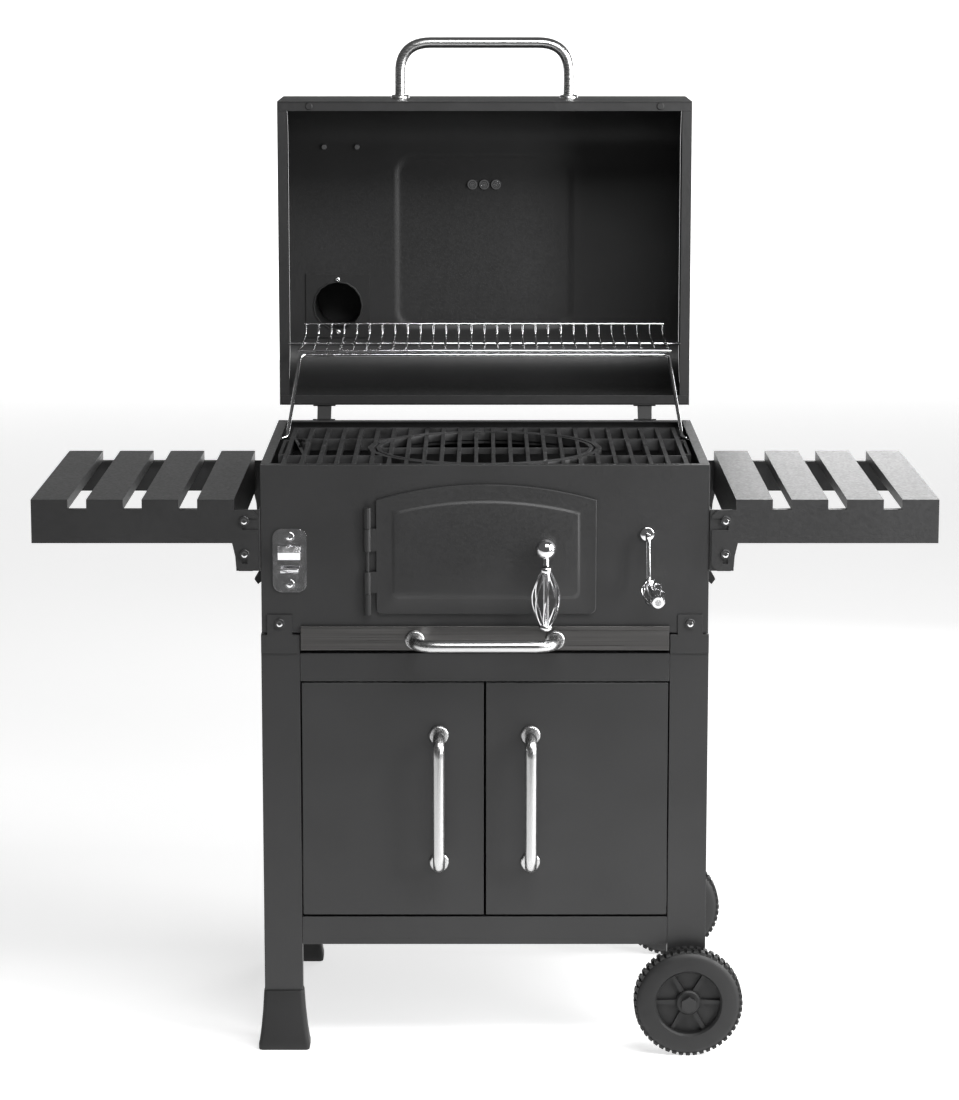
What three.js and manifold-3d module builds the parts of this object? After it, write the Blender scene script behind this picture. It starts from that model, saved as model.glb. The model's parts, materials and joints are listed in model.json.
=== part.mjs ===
// Charcoal trolley barbecue with its lid open. Millimetres, +Z up, +X to the right, +Y to the back.
// Every piece is placed from the front face of the firebox and legs, which is Y 0 inside the trolley group.
import * as THREE from "three";
import { mergeVertices } from "three/addons/utils/BufferGeometryUtils.js";
import Module from "manifold-3d";

const wasm = await Module();
wasm.setup();

// ---------- Driving dimensions ----------

const GAP = 0.3; // clearance between pieces that touch
const SHEET = 2; // thickness of the folded sheet steel
const OVERLAP = 0.5; // how far joined features run into each other

// The trolley group's shift, which puts the origin under the middle of the object's outer box.
const DEPTH_SHIFT = 346.35;

const firebox = { halfWidth: 300, depth: 436, bottom: 582, top: 810, flange: 13 };
const grateLedge = { width: 16, top: 785, halfLength: 285 };

const leg = { inner: 249, outer: 301, depth: 20, top: 580, bootedFoot: 12, wheeledFoot: 58 };
const legTab = { inner: 259, outer: 292.5, top: 607, proud: 2.3, collarBottom: 554, collarTop: 579 };
const screw = { headRadius: 6.4, headHeight: 3.6, shankRadius: 3 };
const foot = { height: 83, floorWidth: 70, floorDepth: 36, topWidth: 54, topDepth: 24, pocketFloor: 10 };

const wheel = { radius: 74, width: 32, centreX: 277, legClearance: 3, rimInner: 43, hubRadius: 17 };
const wheelWeb = { front: 2, back: 6, hubSetback: 4, holeCircle: 28, holeRadius: 4.5 };
const spoke = { setback: 9, halfWidth: 3 };
const axle = { radius: 6, bore: 6.3, headRadius: 11, headHeight: 5.5 };

const cabinet = { bottom: 148, top: 579, halfWidth: 248.7, sideX: 299, fold: 12 };
const cabinetFloor = { bottom: 150, top: 162 };
const cabinetBackTop = 552;
const bottomRail = { bottom: 148, top: 187, depth: 18 };
const middleRail = { bottom: 515.3, top: 554, depth: 18 };
const door = { bottom: 190, top: 513, inner: 1.5, outer: 247, depth: 14 };

const barHandle = { radius: 8, collarRadius: 13.5, collarHeight: 4 };
const doorHandle = { x: 62, low: 264, high: 441, standoff: 44, bend: 22 };
const drawerHandle = { halfSpan: 94, z: 573, standoff: 45, bend: 28 };
const lidHandle = { halfSpan: 124, height: 912, standoff: 81, bend: 40 };

const drawer = { front: -5, halfWidth: 247.5, bottom: 559, top: 591.5, sheet: 1.5 };
const drawerTray = { halfWidth: 245, back: 415, bottom: 560, top: 581 };
const runner = { inner: 228, bottom: 557, top: 579 };

// The charcoal door's outline: straight sides, a shallow arch on top, centred on midX.
const charcoalDoor = { midX: 1.5, halfWidth: 147.5, bottom: 608, apex: 784, rise: 21, corner: 9 };
const charcoalDoorFace = { front: -4.5, emboss: -6.5, embossInset: 24, openingInset: 12 };
const charcoalHinge = { x: -157, y: -6, barrelRadius: 5, pinRadius: 2.5, bottom: 608, top: 753 };
const charcoalKnuckles = { door: [[694, 724.5], [637, 666]], fixed: [[725, 753], [608, 636.5]] };
const latch = { x: 81, z: 701, ballRadius: 14, ballY: -30, gripBottom: 593.5, gripRadius: 20 };
const latchShaft = { radius: 5, back: 14, stemRadius: 4.5 };
const latchTongue = { front: 9, back: 12, near: -5, far: 22, halfHeight: 6 };

// The wire-cage grips: a core rod, a cap at each end and wires that bow out between them.
const cage = { wires: 4, wire: 1.8, core: 4.5, cap: 8, nearCap: 8, farCap: 9.5, pinch: 5, steps: 6 };

const opener = { x: -261.5, halfWidth: 22.5, bottom: 638, top: 724, corner: 12, plate: 2.3 };
const openerHood = { halfWidth: 15, lipHalfWidth: 12, screwInset: 11, screwFront: 5.5 };

const crank = { x: 217, z: 717, rodRadius: 3.5, flangeRadius: 9, pinionRadius: 10 };
const crankGrip = { start: [218.2, -38, 655.6], end: [226, -124, 646.6], radius: 17 };
const coalTray = { halfWidth: 262, front: 28, back: 408, bottom: 612, top: 655 };
const liftFrame = { halfWidth: 232, front: 30, back: 400, bar: 12, bottom: 605, top: 611.7 };
const liftRack = { front: 8, back: 16, top: 719 };

const grate = { top: 802, bottom: 786, centreY: 218, halfDepth: 196, halfWidth: 276 };
const grateBars = { width: 5.4, pitch: 23.7, perSide: 12, frame: 6, crossAt: 80 };
const grateLoop = { reach: 8, halfLength: 70, bar: 4 };
const insert = { radius: 152, rim: 6, seat: 791 };

const vent = { y: 70, z: 625, radius: 34, holes: 3, holeCircle: 18, holeRadius: 8, tabHalfWidth: 10 };

const lidHinge = { y: 462, z: 800, x: 235, knuckle: 20, ear: 6, barrelRadius: 8, pinRadius: 4 };
const hingeBracket = { bottom: 760, earBottom: 765, top: 800 };
const hingeLeaf = { bottom: 815, top: 852, armBottom: 816, armTop: 830 };
const lid = { front: -7, back: 435, rim: 812, top: 1060, frontRadius: 80, backRadius: 70, flange: 14 };
const flue = { x: -224, y: 315, pipeRadius: 38, wall: 2, plate: 98, top: 1150, flange: 10 };
const flueCap = { clearance: 1.2, wall: 2.4, brim: 8, skirt: 34, thickness: 6, windows: 4 };
const flueWindow = { low: 26, high: 8, halfWidth: 10 };
const thermometer = { y: 130, radius: 36, height: 16, screwSpacing: 18 };

// The lid, the bail and the rack form a parallelogram: these are its corners with the lid open.
const bail = { pivotY: 319, pivotZ: 800, pivotX: 281.5, barY: 454, barZ: 903, barX: 268, radius: 2.5 };
const rack = { rodY: 597, front: 452, back: 654, halfWidth: 272, fence: 20, rodEnd: 306 };
const rackWires = { count: 29, radius: 1.8, frameBar: 3, saddleHalfWidth: 9 };

const table = { inner: 335, outer: 606, front: -5, back: 441, bottom: 705, top: 764, slatHeight: 14 };
const slats = { count: 4, width: 49, pitch: 74 };
const tableHinge = { x: 321.5, pivotZ: 690, lockZ: 735, plateInner: 303, plateBottom: 667, plateTop: 750 };

// ---------- Finishes ----------

const finishes = {
  coatedSteel: { color: 0x3c3c3e, roughness: 0.48, metalness: 0.35 },
  darkSteel: { color: 0x242425, roughness: 0.6, metalness: 0.3 },
  castIron: { color: 0x1b1b1c, roughness: 0.75, metalness: 0.4 },
  brushedSteel: { color: 0xb9b9b8, roughness: 0.3, metalness: 1 },
  drawerSteel: { color: 0x6a6866, roughness: 0.36, metalness: 1 },
  chrome: { color: 0xd5d5d6, roughness: 0.12, metalness: 1 },
  zincSteel: { color: 0x8d8d8c, roughness: 0.4, metalness: 0.9 },
  blackPlastic: { color: 0x161617, roughness: 0.6, metalness: 0 },
};

// ---------- Shape helpers ----------

// A box from its two limits along each axis, given in either order.
function box(xs, ys, zs) {
  const length = (pair) => Math.abs(pair[1] - pair[0]);
  const middle = (pair) => (pair[0] + pair[1]) / 2;
  const geometry = new THREE.BoxGeometry(length(xs), length(ys), length(zs));
  return geometry.translate(middle(xs), middle(ys), middle(zs));
}

// A round bar from one point to another.
function rod(from, to, radius, sides = 12) {
  const start = new THREE.Vector3(...from);
  const end = new THREE.Vector3(...to);
  const direction = end.clone().sub(start);
  const geometry = new THREE.CylinderGeometry(radius, radius, direction.length(), sides);
  const upright = new THREE.Vector3(0, 1, 0);
  geometry.applyQuaternion(new THREE.Quaternion().setFromUnitVectors(upright, direction.normalize()));
  return geometry.translate(...start.add(end).multiplyScalar(0.5).toArray());
}

// A closed shape through a list of points.
function outline(points) {
  return new THREE.Shape(points.map((point) => new THREE.Vector2(...point)));
}

// A disc, with a round hole when an inner radius is given.
function disc(x, y, radius, innerRadius = 0) {
  const shape = new THREE.Shape();
  shape.absarc(x, y, radius, 0, 2 * Math.PI);
  if (innerRadius > 0) {
    const hole = new THREE.Path();
    hole.absarc(x, y, innerRadius, 0, 2 * Math.PI);
    shape.holes.push(hole);
  }
  return shape;
}

// A flat shape made solid along one axis. Its own axes are Y, Z for "x", X, Z for "y" and X, Y for "z".
function slab(shape, axis, from, to, curveSegments = 6) {
  const depth = to - from;
  const geometry = new THREE.ExtrudeGeometry(shape, { depth, bevelEnabled: false, curveSegments });
  const x = new THREE.Vector3(1, 0, 0);
  const y = new THREE.Vector3(0, 1, 0);
  const z = new THREE.Vector3(0, 0, 1);
  if (axis === "x") {
    return geometry.applyMatrix4(new THREE.Matrix4().makeBasis(y, z, x)).translate(from, 0, 0);
  }
  if (axis === "y") {
    const turn = new THREE.Matrix4().makeBasis(x, z, y.clone().negate());
    return geometry.applyMatrix4(turn).translate(0, to, 0);
  }
  return geometry.translate(0, 0, from);
}

// A line through points whose corners are rounded by the bend.
function roundedPath(points, bend) {
  const corners = points.map((point) => new THREE.Vector3(...point));
  const path = new THREE.CurvePath();
  let start = corners[0];
  for (let i = 1; i < corners.length - 1; i++) {
    const corner = corners[i];
    const into = corner.clone().sub(corners[i - 1]).setLength(bend);
    const away = corners[i + 1].clone().sub(corner).setLength(bend);
    const bendStart = corner.clone().sub(into);
    const bendEnd = corner.clone().add(away);
    path.add(new THREE.LineCurve3(start, bendStart));
    path.add(new THREE.QuadraticBezierCurve3(bendStart, corner, bendEnd));
    start = bendEnd;
  }
  path.add(new THREE.LineCurve3(start, corners[corners.length - 1]));
  return path;
}

// A round bar along a curve.
function tube(path, radius, steps, sides = 8) {
  const ring = Array.from({ length: sides }, (_, i) => {
    const angle = (2 * Math.PI * i) / sides;
    return [radius * Math.cos(angle), radius * Math.sin(angle)];
  });
  return new THREE.ExtrudeGeometry(outline(ring), { steps, bevelEnabled: false, extrudePath: path });
}

// A geometry as a solid that can be joined and cut.
function solid(geometry) {
  const bare = geometry.clone();
  bare.deleteAttribute("normal");
  bare.deleteAttribute("uv");
  const merged = mergeVertices(bare, 1e-4);
  const vertProperties = merged.attributes.position.array;
  const triVerts = new Uint32Array(merged.index.array);
  return new wasm.Manifold(new wasm.Mesh({ numProp: 3, vertProperties, triVerts }));
}

function geometryOf(made) {
  const mesh = made.getMesh();
  const geometry = new THREE.BufferGeometry();
  geometry.setAttribute("position", new THREE.BufferAttribute(mesh.vertProperties, mesh.numProp));
  geometry.setIndex(new THREE.BufferAttribute(mesh.triVerts, 1));
  geometry.computeVertexNormals();
  return geometry;
}

function join(...pieces) {
  return geometryOf(pieces.map(solid).reduce((whole, piece) => whole.add(piece)));
}

function cut(base, ...tools) {
  return geometryOf(tools.map(solid).reduce((whole, tool) => whole.subtract(tool), solid(base)));
}

// A sheet-metal pan: a box hollowed out by its sheet thickness, open on one side ("+x", "-y" and so on).
function pan(xs, ys, zs, openSide, sheet = SHEET) {
  const limits = [xs, ys, zs].map((pair) => [Math.min(...pair), Math.max(...pair)]);
  const hollow = limits.map(([low, high]) => [low + sheet, high - sheet]);
  const axis = "xyz".indexOf(openSide[1]);
  const end = openSide[0] === "+" ? 1 : 0;
  hollow[axis][end] = limits[axis][end] + (end === 1 ? sheet : -sheet);
  return cut(box(...limits), box(...hollow));
}

// ---------- Scene graph ----------

const trolley = new THREE.Group();
trolley.position.y = -DEPTH_SHIFT;

// The lid is modelled closed, and its group turns it up about the hinge.
const openLid = new THREE.Group();
openLid.position.set(0, lidHinge.y, lidHinge.z);
openLid.rotation.x = -Math.PI / 2;
trolley.add(openLid);

function add(name, geometry, finish, group = trolley) {
  const mesh = new THREE.Mesh(geometry, new THREE.MeshStandardMaterial(finishes[finish]));
  mesh.name = name;
  group.add(mesh);
}

// Adds a piece of the closed lid, given in the trolley's own places.
function addToLid(name, geometry, finish) {
  add(name, geometry.translate(0, -lidHinge.y, -lidHinge.z), finish, openLid);
}

const SIDES = { left: -1, right: 1 };
const bothSides = (distance) => [-distance, distance];
const ENDS = { front: false, rear: true };

// Depths measured back from the front face, or forward from the back face at the rear.
function fromEnd(isRear, near, far) {
  return isRear ? [firebox.depth - near, firebox.depth - far] : [near, far];
}

// ---------- Cart ----------

// A round bar along the axle's line, between two depths.
function axleRod(from, to, radius, sides = 16) {
  return rod([wheel.centreX, from, wheel.radius], [wheel.centreX, to, wheel.radius], radius, sides);
}

function legPiece(side, isRear) {
  const isWheeled = side === SIDES.right;
  const bottom = isWheeled ? leg.wheeledFoot : leg.bootedFoot;
  const xs = [side * leg.inner, side * leg.outer];
  const inside = [side * (leg.inner + SHEET), side * (leg.outer - SHEET)];
  const post = cut(
    box(xs, fromEnd(isRear, 0, leg.depth), [bottom, leg.top]),
    box(inside, fromEnd(isRear, SHEET, leg.depth - SHEET), [bottom - 1, leg.top - SHEET]),
  );
  const screwX = (side * (legTab.inner + legTab.outer)) / 2;
  const screwZ = legTab.top - 12;
  const collar = box(xs, fromEnd(isRear, -legTab.proud, OVERLAP), [legTab.collarBottom, legTab.collarTop]);
  const tab = box(
    [side * legTab.inner, side * legTab.outer],
    fromEnd(isRear, -legTab.proud, -GAP),
    [legTab.collarTop - 1, legTab.top],
  );
  const head = rod(
    [screwX, fromEnd(isRear, -legTab.proud - screw.headHeight, 0)[0], screwZ],
    [screwX, fromEnd(isRear, -1, 0)[0], screwZ],
    screw.headRadius,
  );
  const whole = join(post, collar, tab, head);
  if (!isWheeled) return whole;
  const [start, end] = fromEnd(isRear, -1, leg.depth + 1);
  return cut(whole, axleRod(start, end, axle.bore));
}

function footPiece(isRear) {
  const [front, back] = fromEnd(isRear, 0, leg.depth);
  const centreX = (SIDES.left * (leg.inner + leg.outer)) / 2;
  const block = new THREE.BoxGeometry(foot.floorWidth, foot.floorDepth, foot.height);
  const corners = block.attributes.position;
  for (let i = 0; i < corners.count; i++) {
    if (corners.getZ(i) < 0) continue;
    corners.setX(i, (corners.getX(i) * foot.topWidth) / foot.floorWidth);
    corners.setY(i, (corners.getY(i) * foot.topDepth) / foot.floorDepth);
  }
  block.translate(centreX, (front + back) / 2, foot.height / 2);
  const pocket = box(
    [SIDES.left * (leg.inner - GAP), SIDES.left * (leg.outer + GAP)],
    fromEnd(isRear, -GAP, leg.depth + GAP),
    [foot.pocketFloor, foot.height + 1],
  );
  return cut(block, pocket);
}

for (const [end, isRear] of Object.entries(ENDS)) {
  for (const [sideName, side] of Object.entries(SIDES)) {
    add(`leg_${end}_${sideName}`, legPiece(side, isRear), "coatedSteel");
  }
  add(`foot_${end}`, footPiece(isRear), "blackPlastic");
}

const between = [-cabinet.halfWidth, cabinet.halfWidth];
const panelYs = [leg.depth + GAP, firebox.depth - leg.depth - GAP];

const floorZs = [cabinetFloor.bottom, cabinetFloor.top];
const backYs = [panelYs[1] + GAP, panelYs[1] + leg.depth];
for (const [name, rail] of Object.entries({ bottom_rail: bottomRail, middle_rail: middleRail })) {
  add(name, pan(between, [0, rail.depth], [rail.bottom, rail.top], "+y"), "coatedSteel");
}
add("cabinet_floor", pan(between, [leg.depth, panelYs[1]], floorZs, "-z"), "coatedSteel");
add("cabinet_back", pan(between, backYs, [cabinet.bottom, cabinetBackTop], "-y"), "coatedSteel");
for (const [sideName, side] of Object.entries(SIDES)) {
  const xs = [side * (cabinet.sideX - cabinet.fold), side * cabinet.sideX];
  const inward = side > 0 ? "-x" : "+x";
  add(`cabinet_side_${sideName}`, pan(xs, panelYs, [cabinet.bottom, cabinet.top], inward), "coatedSteel");
}

// ---------- Wheels ----------

const WHEEL_SPOKES = 6;
const WHEEL_HOLES = 3;

function wheelPiece([front, back]) {
  const middle = (front + back) / 2;
  const place = [wheel.centreX, wheel.radius];
  const web = [middle - wheelWeb.front, middle + wheelWeb.back];
  const hub = [front + wheelWeb.hubSetback, back - wheelWeb.hubSetback];
  const pieces = [
    slab(disc(...place, wheel.radius, wheel.rimInner), "y", front, back, 16),
    slab(disc(...place, wheel.rimInner + 1), "y", ...web, 10),
    slab(disc(...place, wheel.hubRadius), "y", ...hub, 8),
  ];
  for (let i = 0; i < WHEEL_SPOKES; i++) {
    const angle = (2 * Math.PI * i) / WHEEL_SPOKES;
    const reach = [wheel.hubRadius - 3, wheel.rimInner + 1];
    const arm = box(reach, [front + spoke.setback, middle], bothSides(spoke.halfWidth));
    pieces.push(arm.rotateY(-angle).translate(wheel.centreX, 0, wheel.radius));
  }
  const holes = [axleRod(front, back, axle.bore + GAP)];
  for (let i = 0; i < WHEEL_HOLES; i++) {
    const angle = Math.PI / 2 + (2 * Math.PI * i) / WHEEL_HOLES;
    const x = wheel.centreX + wheelWeb.holeCircle * Math.cos(angle);
    const z = wheel.radius + wheelWeb.holeCircle * Math.sin(angle);
    holes.push(rod([x, front, z], [x, back, z], wheelWeb.holeRadius, 8));
  }
  return cut(join(...pieces), ...holes);
}

// The bolt's head is outside the wheel and its nut is inside the leg.
function axlePiece(isRear) {
  const piece = (near, far, radius, sides) => axleRod(...fromEnd(isRear, near, far), radius, sides);
  const outside = -wheel.legClearance - wheel.width - 0.5;
  return join(
    piece(outside - 1, leg.depth + 9, axle.radius, 16),
    piece(outside - axle.headHeight, outside, axle.headRadius, 6),
    piece(leg.depth + GAP, leg.depth + 7, axle.headRadius, 6),
  );
}

for (const [end, isRear] of Object.entries(ENDS)) {
  const ys = fromEnd(isRear, -wheel.legClearance - wheel.width, -wheel.legClearance);
  add(`wheel_${end}`, wheelPiece(ys.sort((a, b) => a - b)), "blackPlastic");
  add(`axle_bolt_${end}`, axlePiece(isRear), "zincSteel");
}

// ---------- Cabinet doors and bar handles ----------

// A bent tube standing on two round collars. Its posts are points on the face that it is fixed to.
function barHandlePiece(posts, outward, bend, steps = 18) {
  const raised = posts.map((post) => post.map((value, i) => value + outward[i]));
  const unit = new THREE.Vector3(...outward).normalize().toArray();
  const along = (post, distance) => post.map((value, i) => value + unit[i] * distance);
  const path = roundedPath([along(posts[0], 1), raised[0], raised[1], along(posts[1], 1)], bend);
  const collars = posts.map((post) =>
    rod(along(post, GAP), along(post, barHandle.collarHeight), barHandle.collarRadius, 12),
  );
  return join(tube(path, barHandle.radius, steps, 8), ...collars);
}

for (const [sideName, side] of Object.entries(SIDES)) {
  const xs = [side * door.inner, side * door.outer];
  add(`door_${sideName}`, pan(xs, [0, door.depth], [door.bottom, door.top], "+y"), "coatedSteel");
  const posts = [doorHandle.high, doorHandle.low].map((z) => [side * doorHandle.x, 0, z]);
  const handle = barHandlePiece(posts, [0, -doorHandle.standoff, 0], doorHandle.bend);
  add(`door_handle_${sideName}`, handle, "brushedSteel");
}

// ---------- Ash drawer ----------

const drawerYs = [drawer.front, -2 * GAP];
const drawerZs = [drawer.bottom, drawer.top];
const drawerTrayZs = [drawerTray.bottom, drawerTray.top];
const trayX = bothSides(drawerTray.halfWidth);
const drawerX = bothSides(drawer.halfWidth);
add("ash_drawer_front", pan(drawerX, drawerYs, drawerZs, "+y", drawer.sheet), "drawerSteel");
add("ash_drawer_tray", pan(trayX, [-GAP, drawerTray.back], drawerTrayZs, "+z", drawer.sheet), "zincSteel");
const drawerPosts = bothSides(drawerHandle.halfSpan).map((x) => [x, drawer.front, drawerHandle.z]);
const drawerBar = barHandlePiece(drawerPosts, [0, -drawerHandle.standoff, 0], drawerHandle.bend);
add("ash_drawer_handle", drawerBar, "brushedSteel");

for (const [sideName, side] of Object.entries(SIDES)) {
  const ys = [SHEET, firebox.depth - SHEET];
  const outer = side * cabinet.halfWidth;
  const ledge = box([side * runner.inner, outer], ys, [runner.bottom, runner.bottom + SHEET]);
  const wall = box([outer - side * SHEET, outer], ys, [runner.bottom, runner.top]);
  add(`drawer_runner_${sideName}`, join(ledge, wall), "darkSteel");
}

// ---------- Firebox ----------

// The charcoal door's outline, drawn in by an inset: the arch keeps its centre.
function charcoalOutline(inset, hasSquareCorners = false) {
  const halfChord = charcoalDoor.halfWidth;
  const archRadius = (halfChord ** 2 + charcoalDoor.rise ** 2) / (2 * charcoalDoor.rise);
  const archCentreZ = charcoalDoor.apex - archRadius;
  const half = halfChord - inset;
  const radius = archRadius - inset;
  const lean = Math.acos(half / radius);
  const low = charcoalDoor.bottom + inset;
  const { midX, corner } = charcoalDoor;
  const shape = new THREE.Shape();
  if (hasSquareCorners) {
    shape.moveTo(midX - half, low);
    shape.lineTo(midX + half, low);
  } else {
    shape.moveTo(midX - half, low + corner);
    shape.absarc(midX - half + corner, low + corner, corner, Math.PI, 1.5 * Math.PI);
    shape.absarc(midX + half - corner, low + corner, corner, 1.5 * Math.PI, 2 * Math.PI);
  }
  shape.absarc(midX, archCentreZ, radius, lean, Math.PI - lean);
  return shape;
}

const boxWidth = [-firebox.halfWidth, firebox.halfWidth];
const boxHeight = [firebox.bottom, firebox.top];
const rimZs = [firebox.top - SHEET, firebox.top];
const innerHalfWidth = firebox.halfWidth - SHEET - GAP;
const grateLedgeZs = [grateLedge.top - SHEET, grateLedge.top];
const crankBore = rod([crank.x, -1, crank.z], [crank.x, SHEET + 1, crank.z], crank.rodRadius + GAP);

function fireboxEnd(isRear) {
  return [
    box(boxWidth, fromEnd(isRear, 0, SHEET), boxHeight),
    box(bothSides(innerHalfWidth), fromEnd(isRear, SHEET / 2, firebox.flange), rimZs),
    box(bothSides(grateLedge.halfLength), fromEnd(isRear, SHEET / 2, grateLedge.width), grateLedgeZs),
  ];
}
const openingShape = charcoalOutline(charcoalDoorFace.openingInset, true);
const charcoalOpening = slab(openingShape, "y", -1, SHEET + 1, 3);
add("firebox_front", cut(join(...fireboxEnd(false)), charcoalOpening, crankBore), "coatedSteel");
add("firebox_back", join(...fireboxEnd(true)), "coatedSteel");

// A round tool that goes through a side wall.
function sideBore(side, y, z, radius, sides = 10) {
  const [inner, outer] = [firebox.halfWidth - 5, firebox.halfWidth + 5];
  return rod([side * inner, y, z], [side * outer, y, z], radius, sides);
}

const ventHoles = (side) =>
  Array.from({ length: vent.holes }, (_, i) => {
    const angle = Math.PI / 2 + (2 * Math.PI * i) / vent.holes;
    const y = vent.y + vent.holeCircle * Math.cos(angle);
    const z = vent.z + vent.holeCircle * Math.sin(angle);
    return sideBore(side, y, z, vent.holeRadius);
  });
const ventTabOutline = [[301, 656], [307, 654], [313, 644], [308, 637], [301, 643]];

for (const [sideName, side] of Object.entries(SIDES)) {
  const sheetX = [side * (firebox.halfWidth - SHEET), side * firebox.halfWidth];
  const flangeX = [side * (firebox.halfWidth - firebox.flange), side * (firebox.halfWidth - SHEET / 2)];
  const wall = box(sheetX, [SHEET + GAP, firebox.depth - SHEET - GAP], boxHeight);
  const rim = box(flangeX, [firebox.flange + GAP, firebox.depth - firebox.flange - GAP], rimZs);
  const pivotBore = sideBore(side, bail.pivotY, bail.pivotZ, bail.radius + 2 * GAP);
  add(`firebox_side_${sideName}`, cut(join(wall, rim), pivotBore, ...ventHoles(side)), "coatedSteel");

  // The vent disc turns on the side wall, and its bent tab is the lever.
  const ventDisc = slab(disc(vent.y, vent.z, vent.radius), "x", 0, SHEET, 8);
  ventDisc.translate(side > 0 ? firebox.halfWidth + GAP : -firebox.halfWidth - GAP - SHEET, 0, 0);
  const tabPoints = ventTabOutline.map(([x, z]) => [side * x, z]);
  const tabShape = outline(side > 0 ? tabPoints : tabPoints.reverse());
  const tab = slab(tabShape, "y", vent.y - vent.tabHalfWidth, vent.y + vent.tabHalfWidth);
  add(`vent_lever_${sideName}`, cut(join(ventDisc, tab), ...ventHoles(side)), "blackPlastic");
}

// ---------- Charcoal door ----------

const doorFace = charcoalDoorFace.front;
const charcoalShell = cut(
  slab(charcoalOutline(0), "y", doorFace, -2 * GAP, 3),
  slab(charcoalOutline(SHEET), "y", doorFace + SHEET, 1, 3),
);
const embossShape = charcoalOutline(charcoalDoorFace.embossInset);
const charcoalEmboss = slab(embossShape, "y", charcoalDoorFace.emboss, doorFace + OVERLAP, 3);
const latchBore = rod([latch.x, -20, latch.z], [latch.x, 10, latch.z], latchShaft.radius + GAP, 12);

// A round bar along the charcoal door's hinge line.
function hingeRod([low, high], radius) {
  const { x, y } = charcoalHinge;
  return rod([x, y, low], [x, y, high], radius, 12);
}

const doorEdge = charcoalDoor.midX - charcoalDoor.halfWidth + 1;
const knucklePieces = charcoalKnuckles.door.flatMap((zs) => [
  hingeRod(zs, charcoalHinge.barrelRadius),
  box([charcoalHinge.x + 3, doorEdge], [doorFace, doorFace + SHEET], zs),
]);
const hingeBore = hingeRod([charcoalHinge.bottom - 8, charcoalHinge.top + 7], charcoalHinge.pinRadius + GAP);
const charcoalDoorSheet = join(charcoalShell, charcoalEmboss, ...knucklePieces);
add("charcoal_door", cut(charcoalDoorSheet, latchBore, hingeBore), "coatedSteel");
add(
  "charcoal_hinge",
  join(
    hingeRod([charcoalHinge.bottom, charcoalHinge.top], charcoalHinge.pinRadius),
    ...charcoalKnuckles.fixed.flatMap((zs) => [
      hingeRod(zs, charcoalHinge.barrelRadius),
      box([charcoalHinge.x - 4, charcoalHinge.x + 4], [charcoalHinge.y, -GAP], zs),
    ]),
  ),
  "darkSteel",
);

function cageGrip(start, end, radius) {
  const from = new THREE.Vector3(...start);
  const axis = new THREE.Vector3(...end).sub(from);
  const span = axis.length();
  const unit = axis.clone().normalize();
  const sideways = new THREE.Vector3(0, 0, 1).cross(unit);
  if (sideways.length() < 0.1) sideways.set(1, 0, 0);
  sideways.normalize();
  const at = (share) => from.clone().addScaledVector(unit, share * span).toArray();
  const pieces = [
    rod(at(0), at(1), cage.core, 10),
    rod(at(0), at(cage.cap / span), cage.nearCap, 10),
    rod(at(1 - cage.cap / span), at(1), cage.farCap, 10),
  ];
  const insideCap = cage.cap / 2;
  for (let i = 0; i < cage.wires; i++) {
    const out = sideways.clone().applyAxisAngle(unit, (Math.PI / cage.wires) * (2 * i + 1));
    const bow = Array.from({ length: cage.steps + 1 }, (_, step) => {
      const share = step / cage.steps;
      const swell = cage.pinch + (radius - cage.pinch - 2) * Math.sin(Math.PI * share);
      const place = new THREE.Vector3(...at((insideCap + (span - cage.cap) * share) / span));
      return place.addScaledVector(out, swell);
    });
    pieces.push(tube(new THREE.CatmullRomCurve3(bow), cage.wire, cage.steps, 4));
  }
  return join(...pieces);
}

const ball = new THREE.SphereGeometry(latch.ballRadius, 12, 8).translate(latch.x, latch.ballY, latch.z);
const stemEnd = [latch.x, latch.ballY - 6, latch.z - latch.ballRadius - 5];
const latchGripTop = [latch.x, latch.ballY - 7, latch.z - latch.ballRadius - 9];
const latchGripEnd = [latch.x, latch.ballY - 10, latch.gripBottom];
add(
  "charcoal_latch",
  join(
    ball,
    rod([latch.x, latch.ballY, latch.z], [latch.x, latchShaft.back, latch.z], latchShaft.radius, 12),
    box(
      [latch.x + latchTongue.near, latch.x + latchTongue.far],
      [latchTongue.front, latchTongue.back],
      [latch.z - latchTongue.halfHeight, latch.z + latchTongue.halfHeight],
    ),
    rod([latch.x, latch.ballY, latch.z], stemEnd, latchShaft.stemRadius, 10),
  ),
  "chrome",
);
add("charcoal_latch_grip", cageGrip(latchGripTop, latchGripEnd, latch.gripRadius), "chrome");

// ---------- Bottle opener ----------

// The opener's hood and lip in depth and height: the cap goes under the hood and the lip levers it off.
const openerHoodOutline = [
  [-1, 704],
  [-13, 702],
  [-18, 694],
  [-15, 684],
  [-13, 684],
  [-16, 694],
  [-12, 700],
  [-1, 702],
];
const openerLipOutline = [[-1, 674], [-9, 668], [-14, 672], [-15, 670], [-9, 665], [-1, 670]];

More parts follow.
